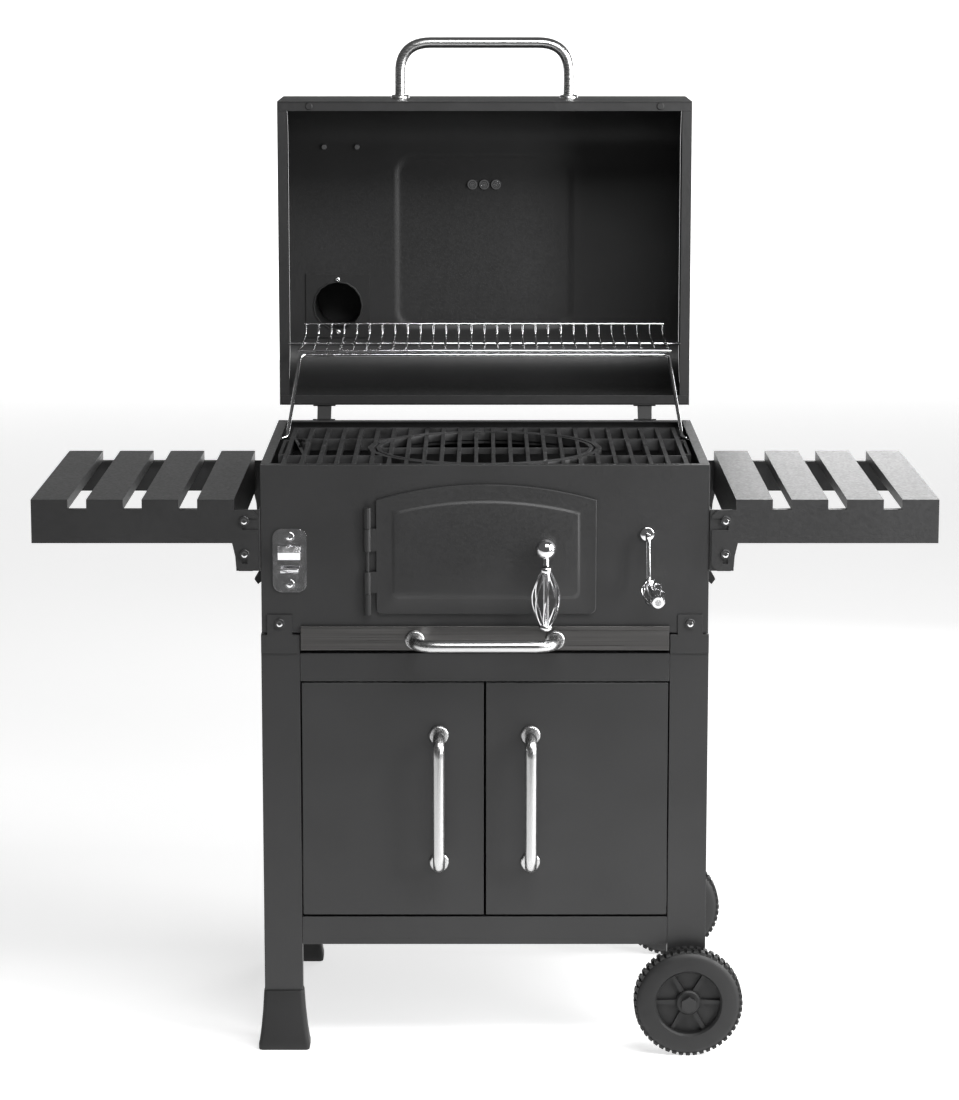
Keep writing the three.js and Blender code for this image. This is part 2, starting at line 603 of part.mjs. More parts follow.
function openerPiece() {
  const { x, halfWidth, bottom, top, corner, plate } = opener;
  const { halfWidth: hoodHalf, lipHalfWidth: lipHalf, screwInset, screwFront } = openerHood;
  const shape = new THREE.Shape();
  shape.absarc(x + halfWidth - corner, bottom + corner, corner, 1.5 * Math.PI, 2 * Math.PI);
  shape.absarc(x + halfWidth - corner, top - corner, corner, 0, 0.5 * Math.PI);
  shape.absarc(x - halfWidth + corner, top - corner, corner, 0.5 * Math.PI, Math.PI);
  shape.absarc(x - halfWidth + corner, bottom + corner, corner, Math.PI, 1.5 * Math.PI);
  const hood = slab(outline(openerHoodOutline), "x", x - hoodHalf, x + hoodHalf);
  const lip = slab(outline(openerLipOutline), "x", x - lipHalf, x + lipHalf);
  const screws = [bottom + screwInset, top - screwInset].map((z) =>
    rod([x, -screwFront, z], [x, -SHEET, z], screw.headRadius),
  );
  return join(slab(shape, "y", -plate, -GAP, 5), hood, lip, ...screws);
}
add("bottle_opener", openerPiece(), "chrome");

// ---------- Crank, lifting frame and coal tray ----------

const crankRod = roundedPath(
  [
    [crank.x, 21, crank.z],
    [crank.x, -27, crank.z],
    [crank.x + 1, -30, crankGrip.start[2] + 1],
    [218.1, -36.5, crankGrip.start[2] + 0.2],
  ],
  7,
);
add(
  "crank_rod",
  join(
    tube(crankRod, crank.rodRadius, 16, 6),
    rod([crank.x, -5, crank.z], [crank.x, -GAP, crank.z], crank.flangeRadius, 14),
    rod([crank.x, liftRack.front, crank.z], [crank.x, liftRack.back, crank.z], crank.pinionRadius, 16),
  ),
  "chrome",
);
add("crank_grip", cageGrip(crankGrip.start, crankGrip.end, crankGrip.radius), "chrome");

const liftYs = [liftFrame.front, liftFrame.back];
const liftZs = [liftFrame.bottom, liftFrame.top];
const rackX = [crank.x + crank.pinionRadius + OVERLAP, liftFrame.halfWidth];
add(
  "coal_lift_frame",
  join(
    cut(
      box(bothSides(liftFrame.halfWidth), liftYs, liftZs),
      box(
        bothSides(liftFrame.halfWidth - liftFrame.bar),
        [liftYs[0] + liftFrame.bar, liftYs[1] - liftFrame.bar],
        [liftFrame.bottom - 1, liftFrame.top + 1],
      ),
    ),
    box([rackX[1] - liftFrame.bar, rackX[1]], [liftRack.front, liftFrame.front + 1], liftZs),
    box(rackX, [liftRack.front, liftRack.back], [liftFrame.bottom, liftRack.top]),
  ),
  "zincSteel",
);
const coalTrayYs = [coalTray.front, coalTray.back];
const coalTrayZs = [coalTray.bottom, coalTray.top];
add("coal_tray", pan(bothSides(coalTray.halfWidth), coalTrayYs, coalTrayZs, "+z"), "darkSteel");

// ---------- Grates ----------

const grateZs = [grate.bottom, grate.top];
const THROUGH = [0, 900]; // heights of a tool that cuts through a grate or table
const seatRadius = { outer: insert.radius + 11, inner: insert.radius + 3, lip: insert.radius - 4 };

// One half grate: bars along Y, a frame, cross bars, a handle loop and half of the ring round the insert.
function halfGrate(side) {
  const { centreY, halfDepth, halfWidth } = grate;
  const { width, pitch, perSide, frame, crossAt } = grateBars;
  const xs = [side * 0.5, side * halfWidth];
  const barZs = [grate.bottom + 2, grate.top];
  const reach = (distance) => [centreY - distance, centreY + distance];
  const cross = (y, thickness) => box(xs, [y - thickness / 2, y + thickness / 2], grateZs);
  const pieces = [-1, 1].flatMap((end) => [
    cross(centreY + end * (halfDepth - frame / 2), frame),
    cross(centreY + end * crossAt, width),
  ]);
  pieces.push(box([side * (halfWidth - frame), side * halfWidth], reach(halfDepth), grateZs));
  for (let i = 0; i < perSide - 1; i++) {
    const x = side * pitch * (i + 0.5);
    pieces.push(box([x - width / 2, x + width / 2], reach(halfDepth - frame / 2), barZs));
  }
  const loop = [side * (halfWidth - 1), side * (halfWidth + grateLoop.reach)];
  const inside = [loop[0], loop[1] - side * grateLoop.bar];
  const loopHole = box(inside, reach(grateLoop.halfLength - frame), THROUGH);
  pieces.push(cut(box(loop, reach(grateLoop.halfLength), barZs), loopHole));
  const field = cut(join(...pieces), slab(disc(0, centreY, seatRadius.inner + 2), "z", ...THROUGH, 12));
  const ring = join(
    slab(disc(0, centreY, seatRadius.outer, seatRadius.inner), "z", ...grateZs, 12),
    slab(disc(0, centreY, seatRadius.inner + 1, seatRadius.lip), "z", grate.bottom, insert.seat - GAP, 12),
  );
  const otherHalf = box([side * 0.5, -side * 400], [0, firebox.depth], THROUGH);
  return join(field, cut(ring, otherHalf));
}
for (const [sideName, side] of Object.entries(SIDES)) {
  add(`grate_${sideName}`, halfGrate(side), "castIron");
}

const INSERT_BARS = 12;
function insertPiece() {
  const { centreY } = grate;
  const { width: bar, pitch } = grateBars;
  const insertZs = [insert.seat, grate.top];
  const inside = insert.radius - insert.rim / 2;
  const barZs = [insert.seat + 1, grate.top - 0.4];
  const pieces = [
    slab(disc(0, centreY, insert.radius, insert.radius - insert.rim), "z", ...insertZs, 12),
    box([-inside, inside], [centreY - bar / 2, centreY + bar / 2], [insert.seat + 1.5, grate.top - 1]),
  ];
  for (let i = 0; i < INSERT_BARS; i++) {
    const x = pitch * (i + 0.5 - INSERT_BARS / 2);
    const reach = Math.sqrt(inside ** 2 - x ** 2);
    pieces.push(box([x - bar / 2, x + bar / 2], [centreY - reach, centreY + reach], barZs));
  }
  return join(...pieces);
}
add("grate_insert", insertPiece(), "castIron");

// ---------- Lid, drawn closed ----------

// The lid's side outline in Y and Z, drawn in by an inset.
function lidOutlinePoints(inset) {
  const arc = (y, z, radius, from, to, steps) =>
    Array.from({ length: steps + 1 }, (_, i) => {
      const angle = from + ((to - from) * i) / steps;
      return [y + (radius - inset) * Math.cos(angle), z + (radius - inset) * Math.sin(angle)];
    });
  const { front, back, rim, top, frontRadius, backRadius } = lid;
  return [
    [front + inset, rim],
    ...arc(front + frontRadius, top - frontRadius, frontRadius, Math.PI, Math.PI / 2, 8),
    ...arc(back - backRadius, top - backRadius, backRadius, Math.PI / 2, 0, 8),
    [back - inset, rim],
  ].reverse();
}

const lidSkinX = [-innerHalfWidth, innerHalfWidth];
const skinShape = outline([...lidOutlinePoints(0), ...lidOutlinePoints(SHEET).reverse()]);
const rimLipZs = [lid.rim, lid.rim + SHEET];
const thermometerStems = [-1, 0, 1].map((i) => i * thermometer.screwSpacing);

// A round tool that goes through the lid's top.
function topBore(x, y, radius, sides) {
  return rod([x, y, lid.top - 10], [x, y, lid.top + 10], radius, sides);
}

addToLid(
  "lid_skin",
  cut(
    join(
      slab(skinShape, "x", ...lidSkinX),
      box(lidSkinX, [lid.front + SHEET / 2, lid.front + lid.flange], rimLipZs),
      box(lidSkinX, [lid.back - lid.flange, lid.back - SHEET / 2], rimLipZs),
    ),
    topBore(flue.x, flue.y, flue.pipeRadius + 1, 24),
    ...thermometerStems.map((x) => topBore(x, thermometer.y, screw.shankRadius + GAP, 8)),
  ),
  "coatedSteel",
);

const rackRodClosed = {
  y: lidHinge.y - (bail.barZ - lidHinge.z),
  z: lidHinge.z + (rack.rodY - lidHinge.y),
};
for (const [sideName, side] of Object.entries(SIDES)) {
  const outer = side * firebox.halfWidth;
  const inner = side * (firebox.halfWidth - SHEET);
  const sheet = slab(outline(lidOutlinePoints(0)), "x", Math.min(outer, inner), Math.max(outer, inner));
  const lip = box(
    [side * (firebox.halfWidth - lid.flange), side * (firebox.halfWidth - SHEET / 2)],
    [lid.front + lid.flange + GAP, lid.back - lid.flange - GAP],
    rimLipZs,
  );
  const rodBore = sideBore(side, rackRodClosed.y, rackRodClosed.z, 6, 12);
  addToLid(`lid_end_${sideName}`, cut(join(sheet, lip), rodBore), "coatedSteel");
}

const lidPosts = bothSides(lidHandle.halfSpan).map((x) => [x, lid.front, lidHandle.height]);
const lidBar = barHandlePiece(lidPosts, [0, -lidHandle.standoff, 0], lidHandle.bend, 22);
addToLid("lid_handle", lidBar, "brushedSteel");

const insideSkin = lid.top - SHEET - GAP;
function thermometerRod(x, low, high, radius, sides) {
  return rod([x, thermometer.y, low], [x, thermometer.y, high], radius, sides);
}
addToLid(
  "thermometer",
  join(
    thermometerRod(0, lid.top + GAP, lid.top + thermometer.height, thermometer.radius, 24),
    ...thermometerStems.flatMap((x) => [
      thermometerRod(x, insideSkin - 9, lid.top + 2, screw.shankRadius, 8),
      thermometerRod(x, insideSkin - 5, insideSkin, screw.headRadius - 0.4, 6),
    ]),
  ),
  "brushedSteel",
);

// The chimney pipe goes through the lid and is held by a square plate inside it.
const windowsAt = (turn) =>
  Array.from({ length: flueCap.windows }, (_, i) =>
    box(
      [flue.pipeRadius - 6, flue.pipeRadius + 8],
      bothSides(flueWindow.halfWidth),
      [flue.top - flueWindow.low, flue.top - flueWindow.high],
    )
      .rotateZ((2 * Math.PI * i) / flueCap.windows + turn)
      .translate(flue.x, flue.y, 0),
  );
const fluePipe = (low, high, outer, inner) => slab(disc(flue.x, flue.y, outer, inner), "z", low, high, 8);
const pipeInner = flue.pipeRadius - flue.wall;
const halfPlate = flue.plate / 2;
const fluePlate = cut(
  box(
    [flue.x - halfPlate, flue.x + halfPlate],
    [flue.y - halfPlate, flue.y + halfPlate],
    [insideSkin - SHEET, insideSkin],
  ),
  fluePipe(0, 2 * flue.top, pipeInner, 0),
);
addToLid(
  "chimney_pipe",
  cut(
    join(
      fluePipe(lid.top - 6, flue.top, flue.pipeRadius, pipeInner),
      fluePlate,
      fluePipe(lid.top + GAP, lid.top + 2, flue.pipeRadius + flue.flange, pipeInner),
    ),
    ...windowsAt(0),
  ),
  "darkSteel",
);
const capInner = flue.pipeRadius + flueCap.clearance;
addToLid(
  "chimney_cap",
  cut(
    join(
      fluePipe(flue.top - flueCap.skirt, flue.top + 4, capInner + flueCap.wall, capInner),
      fluePipe(flue.top + 2 * GAP, flue.top + flueCap.thickness, flue.pipeRadius + flueCap.brim, 0),
    ),
    ...windowsAt(Math.PI / flueCap.windows),
  ),
  "darkSteel",
);

// ---------- Lid hinges ----------

function hingeCylinder(from, to, radius, sides = 14) {
  return rod([from, lidHinge.y, lidHinge.z], [to, lidHinge.y, lidHinge.z], radius, sides);
}

for (const [sideName, side] of Object.entries(SIDES)) {
  const knuckleX = [side * lidHinge.x - lidHinge.knuckle / 2, side * lidHinge.x + lidHinge.knuckle / 2];
  const earEdges = [knuckleX[0] - GAP - lidHinge.ear, knuckleX[1] + GAP + lidHinge.ear];
  const wallY = firebox.depth + GAP;
  const earShape = outline([
    [wallY, hingeBracket.earBottom],
    [wallY + 4, hingeBracket.earBottom],
    [lidHinge.y + 6, lidHinge.z - 4],
    [lidHinge.y - 4, lidHinge.z + 6],
    [wallY, lidHinge.z - 4],
  ]);
  const earXs = [[earEdges[0], knuckleX[0] - GAP], [knuckleX[1] + GAP, earEdges[1]]];
  const ears = earXs.flatMap(([low, high]) => [
    hingeCylinder(low, high, lidHinge.barrelRadius),
    slab(earShape, "x", low, high),
  ]);
  const bracketWall = box(earEdges, [wallY, wallY + SHEET], [hingeBracket.bottom, hingeBracket.top]);
  const pin = hingeCylinder(...earEdges, lidHinge.pinRadius);
  add(`hinge_bracket_${sideName}`, join(bracketWall, pin, ...ears), "darkSteel");

  const leafY = lid.back + GAP;
  const armShape = outline([
    [lidHinge.y, lidHinge.z - 5],
    [lidHinge.y + 6, lidHinge.z + 5],
    [leafY + SHEET, hingeLeaf.armTop],
    [leafY, hingeLeaf.armTop],
    [leafY, hingeLeaf.armBottom],
  ]);
  const leafWall = box(earEdges, [leafY, leafY + SHEET], [hingeLeaf.bottom, hingeLeaf.top]);
  const barrel = hingeCylinder(...knuckleX, lidHinge.barrelRadius);
  const leafPiece = cut(
    join(barrel, slab(armShape, "x", ...knuckleX), leafWall),
    hingeCylinder(knuckleX[0] - 1, knuckleX[1] + 1, lidHinge.pinRadius + 0.4),
  );
  addToLid(`hinge_leaf_${sideName}`, leafPiece, "darkSteel");
}

// ---------- Warming rack and its bail ----------

// A wire bent at each point: straight bars that run into each other by the wire's radius.
function bentWire(points, radius, sides) {
  const corners = points.map((point) => new THREE.Vector3(...point));
  const bars = corners.slice(1).map((corner, i) => {
    const reach = corner.clone().sub(corners[i]).setLength(radius * 0.8);
    return rod(corners[i].clone().sub(reach).toArray(), corner.clone().add(reach).toArray(), radius, sides);
  });
  return join(...bars);
}

const bailEnd = firebox.halfWidth + 2;
add(
  "rack_bail",
  bentWire(
    [
      [-bailEnd, bail.pivotY, bail.pivotZ],
      [-bail.pivotX, bail.pivotY, bail.pivotZ],
      [-bail.barX, bail.barY, bail.barZ],
      [bail.barX, bail.barY, bail.barZ],
      [bail.pivotX, bail.pivotY, bail.pivotZ],
      [bailEnd, bail.pivotY, bail.pivotZ],
    ],
    bail.radius,
    8,
  ),
  "chrome",
);

function rackPiece() {
  const { rodY, front, back, halfWidth, fence, rodEnd } = rack;
  const { count, radius, frameBar, saddleHalfWidth } = rackWires;
  const floorZ = bail.barZ + bail.radius + 2 * GAP + radius;
  const across = bothSides(halfWidth);
  const pieces = [
    rod([-rodEnd, rodY, bail.barZ], [rodEnd, rodY, bail.barZ], bail.radius, 8),
    box(across, [front, front + frameBar], [floorZ, floorZ + frameBar]),
    box(across, [back - 1, back + 2], [floorZ + fence - frameBar, floorZ + fence]),
  ];
  // Saddles carry the floor wires on the pivot rod.
  for (const x of [-halfWidth + 8, 0, halfWidth - 8]) {
    pieces.push(box([x - saddleHalfWidth, x + saddleHalfWidth], [rodY - 2, rodY + 2], [bail.barZ, floorZ]));
  }
  const low = floorZ - radius;
  const high = floorZ + radius * 0.6;
  const wireSide = outline([
    [front - 1, low],
    [back + 1, low],
    [back + 1, floorZ + fence - 1],
    [back - 2, floorZ + fence - 1],
    [back - 2, high],
    [front - 1, high],
  ]);
  const spacing = (2 * (halfWidth - 2)) / (count - 1);
  for (let i = 0; i < count; i++) {
    const x = -halfWidth + 2 + spacing * i;
    pieces.push(slab(wireSide, "x", x - radius * 0.8, x + radius * 0.8));
  }
  return join(...pieces);
}
add("warming_rack", rackPiece(), "chrome");

// ---------- Side tables ----------

const tableMiddle = (table.front + table.back) / 2;
const mirrorDepth = (isRear, ys) => (isRear ? ys.map((y) => 2 * tableMiddle - y) : ys);
const APRON_SHEET = 1.5;
const apronFlange = { side: 10, end: 12 };
const apronTop = table.top - table.slatHeight;

// The end plate carries the table: its upper notch opens towards the firebox and its lower slot is closed.
function tablePlate(side, isRear) {
  const { plateInner, plateBottom, plateTop, x, pivotZ, lockZ } = tableHinge;
  const slot = screw.shankRadius + 2 * GAP;
  const ys = mirrorDepth(isRear, [table.front, table.front + SHEET]).sort((a, b) => a - b);
  const chamfer = 8;
  const points = [
    [plateInner, plateBottom + chamfer],
    [plateInner + chamfer, plateBottom],
    [table.inner - 6, plateBottom],
    [table.inner - 2, plateBottom + 6],
    [table.inner - 1, plateBottom + 20],
    [table.inner + 3, table.bottom],
    [table.inner + 3, plateTop],
    [plateInner + chamfer, plateTop],
    [plateInner, plateTop - chamfer],
  ].map(([px, pz]) => [side * px, pz]);
  const shape = outline(side > 0 ? points : points.reverse());
  const deep = [ys[0] - 1, ys[1] + 1];
  return cut(
    slab(shape, "y", ...ys),
    box([side * (plateInner - 1), side * (x + slot)], deep, [lockZ - 12, lockZ + slot]),
    box([side * (x - slot), side * (x + slot)], deep, [pivotZ - 13, pivotZ + slot]),
  );
}

function tablePiece(side) {
  const xs = [side * table.inner, side * table.outer];
  const apron = cut(
    box(xs, [table.front, table.back], [table.bottom, apronTop + OVERLAP]),
    box(
      [side * (table.inner + APRON_SHEET), side * (table.outer - APRON_SHEET)],
      [table.front + APRON_SHEET, table.back - APRON_SHEET],
      [table.bottom - 1, apronTop - APRON_SHEET],
    ),
    box(
      [side * (table.inner + apronFlange.side), side * (table.outer - apronFlange.side)],
      [table.front + apronFlange.end, table.back - apronFlange.end],
      THROUGH,
    ),
  );
  const pieces = [apron, tablePlate(side, false), tablePlate(side, true)];
  for (let i = 0; i < slats.count; i++) {
    const start = table.inner + i * slats.pitch;
    const slatX = [side * start, side * (start + slats.width)];
    pieces.push(pan(slatX, [table.front, table.back], [apronTop, table.top], "-z", APRON_SHEET));
  }
  return join(...pieces);
}

// The bracket on the firebox wall has a flange at each end, and each flange carries two shouldered screws.
function tableBracket(side) {
  const wallX = [side * (firebox.halfWidth + GAP), side * (firebox.halfWidth + GAP + SHEET)];
  const zs = [tableHinge.plateBottom, tableHinge.plateTop];
  const frontFlange = table.front + SHEET + GAP;
  const wallYs = [frontFlange + OVERLAP, 2 * tableMiddle - frontFlange - OVERLAP];
  const pieces = [box(wallX, wallYs, [zs[0] + 1, zs[1] - 1])];
  for (const isRear of Object.values(ENDS)) {
    const flange = mirrorDepth(isRear, [frontFlange, frontFlange + SHEET]);
    pieces.push(box([side * (firebox.halfWidth + 1), side * (table.inner - 2)], flange, zs));
    for (const z of [tableHinge.pivotZ, tableHinge.lockZ]) {
      const headYs = mirrorDepth(isRear, [table.front - GAP - screw.headHeight, table.front - GAP]);
      const shankYs = mirrorDepth(isRear, [table.front - 1, frontFlange + 1]);
      const place = (y) => [side * tableHinge.x, y, z];
      pieces.push(rod(place(headYs[0]), place(headYs[1]), screw.headRadius));
      pieces.push(rod(place(shankYs[0]), place(shankYs[1]), screw.shankRadius, 10));
    }
  }
  return join(...pieces);
}

for (const [sideName, side] of Object.entries(SIDES)) {
  add(`side_table_${sideName}`, tablePiece(side), "coatedSteel");
  add(`table_bracket_${sideName}`, tableBracket(side), "coatedSteel");
}

export default trolley;
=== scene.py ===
import json
import math

import bmesh
import bpy
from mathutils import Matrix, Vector


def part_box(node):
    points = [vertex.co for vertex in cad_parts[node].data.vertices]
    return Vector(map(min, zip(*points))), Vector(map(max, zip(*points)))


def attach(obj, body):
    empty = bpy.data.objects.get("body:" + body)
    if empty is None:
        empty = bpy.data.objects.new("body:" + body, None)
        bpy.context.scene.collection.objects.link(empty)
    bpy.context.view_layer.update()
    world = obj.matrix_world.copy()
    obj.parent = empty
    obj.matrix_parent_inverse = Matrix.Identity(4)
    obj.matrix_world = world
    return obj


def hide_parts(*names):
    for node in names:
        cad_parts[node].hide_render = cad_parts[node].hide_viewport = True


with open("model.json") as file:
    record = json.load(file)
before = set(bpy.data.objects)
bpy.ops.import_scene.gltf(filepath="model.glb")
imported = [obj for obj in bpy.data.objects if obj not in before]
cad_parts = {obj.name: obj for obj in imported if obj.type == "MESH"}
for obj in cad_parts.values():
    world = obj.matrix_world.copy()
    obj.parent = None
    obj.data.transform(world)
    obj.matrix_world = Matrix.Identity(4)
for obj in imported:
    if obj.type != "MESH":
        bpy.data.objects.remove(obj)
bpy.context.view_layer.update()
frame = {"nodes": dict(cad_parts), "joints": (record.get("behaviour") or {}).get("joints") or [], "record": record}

MM = 0.001
SIDES = {"left": -1, "right": 1}
JOINTS = {joint["name"]: joint for joint in frame["joints"]}
X_AXIS, Y_AXIS, Z_AXIS = Vector((1, 0, 0)), Vector((0, 1, 0)), Vector((0, 0, 1))

# The front face of the firebox and legs: depths in this script are measured from it.
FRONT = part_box("door_left")[0].y


# ---------- Node materials ----------


def shader_tree(name):
    material = bpy.data.materials.new(name)
    material.use_nodes = True
    tree = material.node_tree
    return material, tree, tree.nodes["Principled BSDF"]


def link(tree, source, socket, target, target_socket):
    tree.links.new(source.outputs[socket], target.inputs[target_socket])


def noise(tree, scale, detail, stretch=(1, 1, 1)):
    """Noise on the object's own coordinates in metres, drawn out by a stretch along each axis."""
    coordinates = tree.nodes.new("ShaderNodeTexCoord")
    mapping = tree.nodes.new("ShaderNodeMapping")
    mapping.inputs["Scale"].default_value = stretch
    texture = tree.nodes.new("ShaderNodeTexNoise")
    texture.inputs["Scale"].default_value = scale
    texture.inputs["Detail"].default_value = detail
    link(tree, coordinates, "Object", mapping, "Vector")
    link(tree, mapping, "Vector", texture, "Vector")
    return texture


# The part of the noise's range that is mapped onto a roughness or a tint.
NOISE_LOW, NOISE_HIGH = 0.3, 0.7


def spread(tree, texture, low, high):
    """The texture's value mapped onto a range, for roughness."""
    ramp = tree.nodes.new("ShaderNodeMapRange")
    ramp.inputs["From Min"].default_value = NOISE_LOW
    ramp.inputs["From Max"].default_value = NOISE_HIGH
    ramp.inputs["To Min"].default_value = low
    ramp.inputs["To Max"].default_value = high
    link(tree, texture, "Fac", ramp, "Value")
    return ramp


def tint(tree, texture, dark, light):
    """The texture's value mapped between two colours."""
    ramp = tree.nodes.new("ShaderNodeValToRGB")
    ramp.color_ramp.elements[0].position = NOISE_LOW
    ramp.color_ramp.elements[1].position = NOISE_HIGH
    ramp.color_ramp.elements[0].color = (*dark, 1)
    ramp.color_ramp.elements[1].color = (*light, 1)
    link(tree, texture, "Fac", ramp, "Fac")
    return ramp


def bump_chain(tree, shader, layers):
    """Bumps fed one into the next. Each layer is a texture, a strength and a height in metres."""
    previous = None
    for texture, strength, distance in layers:
        bump = tree.nodes.new("ShaderNodeBump")
        bump.inputs["Strength"].default_value = strength
        bump.inputs["Distance"].default_value = distance
        link(tree, texture, "Fac", bump, "Height")
        if previous:
            link(tree, previous, "Normal", bump, "Normal")
        previous = bump
    link(tree, previous, "Normal", shader, "Normal")


def coated(name, grey, roughness=0.42):
    """Satin powder coat: fine orange-peel grain, faint cloudiness and slightly uneven gloss."""
    material, tree, shader = shader_tree(name)
    cloud = noise(tree, 9.0, 3.0)
    grain = noise(tree, 900.0, 2.0)
    peel = noise(tree, 260.0, 2.0)
    dark = (grey * 0.9, grey * 0.9, grey * 0.91)
    light = (grey * 1.1, grey * 1.1, grey * 1.12)
    link(tree, tint(tree, cloud, dark, light), "Color", shader, "Base Color")
    link(tree, spread(tree, peel, roughness - 0.05, roughness + 0.07), "Result", shader, "Roughness")
    bump_chain(tree, shader, [(peel, 0.12, 0.0004), (grain, 0.10, 0.0002)])
    shader.inputs["Metallic"].default_value = 0.25
    shader.inputs["Coat Weight"].default_value = 0.12
    shader.inputs["Coat Roughness"].default_value = 0.35
    return material


def cast_iron(name):
    """Enamelled cast iron: pitted sand-cast skin with dull and slightly glossier patches."""
    material, tree, shader = shader_tree(name)
    pits = noise(tree, 420.0, 6.0)
    patches = noise(tree, 40.0, 4.0)
    dark, light = (0.012, 0.012, 0.012), (0.034, 0.034, 0.035)
    link(tree, tint(tree, patches, dark, light), "Color", shader, "Base Color")
    link(tree, spread(tree, patches, 0.42, 0.68), "Result", shader, "Roughness")
    bump_chain(tree, shader, [(patches, 0.2, 0.0006), (pits, 0.4, 0.0005)])
    shader.inputs["Metallic"].default_value = 0.1
    return material


def brushed(name, colour, roughness, stretch):
    """Brushed steel: fine scratches drawn out along the axis whose stretch is small."""
    material, tree, shader = shader_tree(name)
    scratches = noise(tree, 60.0, 6.0, stretch)
    haze = noise(tree, 30.0, 2.0)
    dark = tuple(c * 0.86 for c in colour)
    light = tuple(min(1.0, c * 1.12) for c in colour)
    link(tree, tint(tree, scratches, dark, light), "Color", shader, "Base Color")
    link(tree, spread(tree, scratches, roughness - 0.07, roughness + 0.09), "Result", shader, "Roughness")
    bump_chain(tree, shader, [(haze, 0.05, 0.0003), (scratches, 0.10, 0.0002)])
    shader.inputs["Metallic"].default_value = 1.0
    return material


def plated(name, colour, roughness):
    """Bright plating: nearly smooth, with faint waviness and haze."""
    material, tree, shader = shader_tree(name)
    haze = noise(tree, 120.0, 3.0)
    dark = tuple(c * 0.93 for c in colour)
    link(tree, tint(tree, haze, dark, colour), "Color", shader, "Base Color")
    link(tree, spread(tree, haze, roughness, roughness + 0.09), "Result", shader, "Roughness")
    bump_chain(tree, shader, [(haze, 0.06, 0.0002)])
    shader.inputs["Metallic"].default_value = 1.0
    return material


def moulded(name, grey, roughness):
    """Moulded plastic with a fine spark-eroded texture."""
    material, tree, shader = shader_tree(name)
    grain = noise(tree, 1300.0, 2.0)
    scuffs = noise(tree, 60.0, 5.0)
    dark = (grey * 0.8, grey * 0.8, grey * 0.82)
    light = (grey * 1.35, grey * 1.35, grey * 1.38)
    link(tree, tint(tree, scuffs, dark, light), "Color", shader, "Base Color")
    link(tree, spread(tree, scuffs, roughness - 0.06, roughness + 0.1), "Result", shader, "Roughness")
    bump_chain(tree, shader, [(scuffs, 0.1, 0.0003), (grain, 0.25, 0.0002)])
    return material


ALONG_X, ALONG_Z, EVEN = (0.06, 14, 14), (14, 14, 0.06), (8, 8, 8)
STEEL = (0.55, 0.55, 0.55)
MATERIALS = {
    "coated_steel": coated("coated_steel", 0.022),
    "dark_steel": coated("dark_steel", 0.014, 0.5),
    "cast_iron": cast_iron("cast_iron"),
    "brushed_steel": brushed("brushed_steel_across", STEEL, 0.24, ALONG_X),
    "brushed_steel_upright": brushed("brushed_steel_upright", STEEL, 0.24, ALONG_Z),
    "drawer_steel": brushed("drawer_steel", (0.125, 0.122, 0.12), 0.34, ALONG_X),
    "chrome": plated("chrome", (0.74, 0.74, 0.75), 0.09),
    "zinc_steel": brushed("zinc_steel", (0.34, 0.34, 0.345), 0.42, EVEN),
    "black_plastic": moulded("black_plastic", 0.006, 0.55),
}


# ---------- Mesh helpers ----------


def finished(bm, name, body, slot, replaces=(), material=None, smooth=40):
    """Turns a bmesh into a piece: its material, taken from the slot unless another is given, soft shading up to an
    angle, and its body.
    """
    bmesh.ops.remove_doubles(bm, verts=bm.verts, dist=1e-6)
    bmesh.ops.recalc_face_normals(bm, faces=bm.faces)
    mesh = bpy.data.meshes.new(name)
    bm.to_mesh(mesh)
    bm.free()
    mesh.shade_smooth()
    mesh.set_sharp_from_angle(angle=math.radians(smooth))
    mesh.materials.append(MATERIALS[material or slot])
    piece = bpy.data.objects.new(name, mesh)
    bpy.context.scene.collection.objects.link(piece)
    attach(piece, body)
    if replaces:
        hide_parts(*replaces)
    return piece


def rounded_edges(piece, width=0.8 * MM, segments=2, angle=35):
    """Bevels the piece's hard edges."""
    bevel = piece.modifiers.new("edges", "BEVEL")
    bevel.width = width
    bevel.segments = segments
    bevel.limit_method = "ANGLE"
    bevel.angle_limit = math.radians(angle)
    bevel.harden_normals = True
    return piece


def add_box(bm, low, high):
    for vertex in bmesh.ops.create_cube(bm, size=1)["verts"]:
        vertex.co = Vector(
            (low[i] + high[i]) / 2 + vertex.co[i] * abs(high[i] - low[i]) for i in range(3)
        )


def frames_along(points):
    """A pair of axes square to the path at each of its points, turned as little as possible."""
    tangents = []
    for i in range(len(points)):
        before, after = points[max(i - 1, 0)], points[min(i + 1, len(points) - 1)]
        tangents.append((after - before).normalized())
    start = X_AXIS if abs(tangents[0].x) < 0.8 else Y_AXIS
    across = (start - tangents[0] * start.dot(tangents[0])).normalized()
    frames = []
    for tangent in tangents:
        across = (across - tangent * across.dot(tangent)).normalized()
        frames.append((across, tangent.cross(across)))
    return frames


def join_rings(bm, lower, upper):
    """Faces all the way round between two rings of as many points."""
    for i in range(len(lower)):
        j = (i + 1) % len(lower)
        bm.faces.new((lower[i], lower[j], upper[j], upper[i]))


def add_sweep(bm, points, radius, sides=20):
    """A round bar through points, closed at both ends."""
    points = [Vector(p) for p in points]
    rings = []
    r = radius
    for point, (across, up) in zip(points, frames_along(points)):
        angles = [2 * math.pi * i / sides for i in range(sides)]
        rings.append(
            [bm.verts.new(point + across * r * math.cos(a) + up * r * math.sin(a)) for a in angles]
        )
    for lower, upper in zip(rings, rings[1:]):
        join_rings(bm, lower, upper)
    bm.faces.new(rings[0][::-1])
    bm.faces.new(rings[-1])


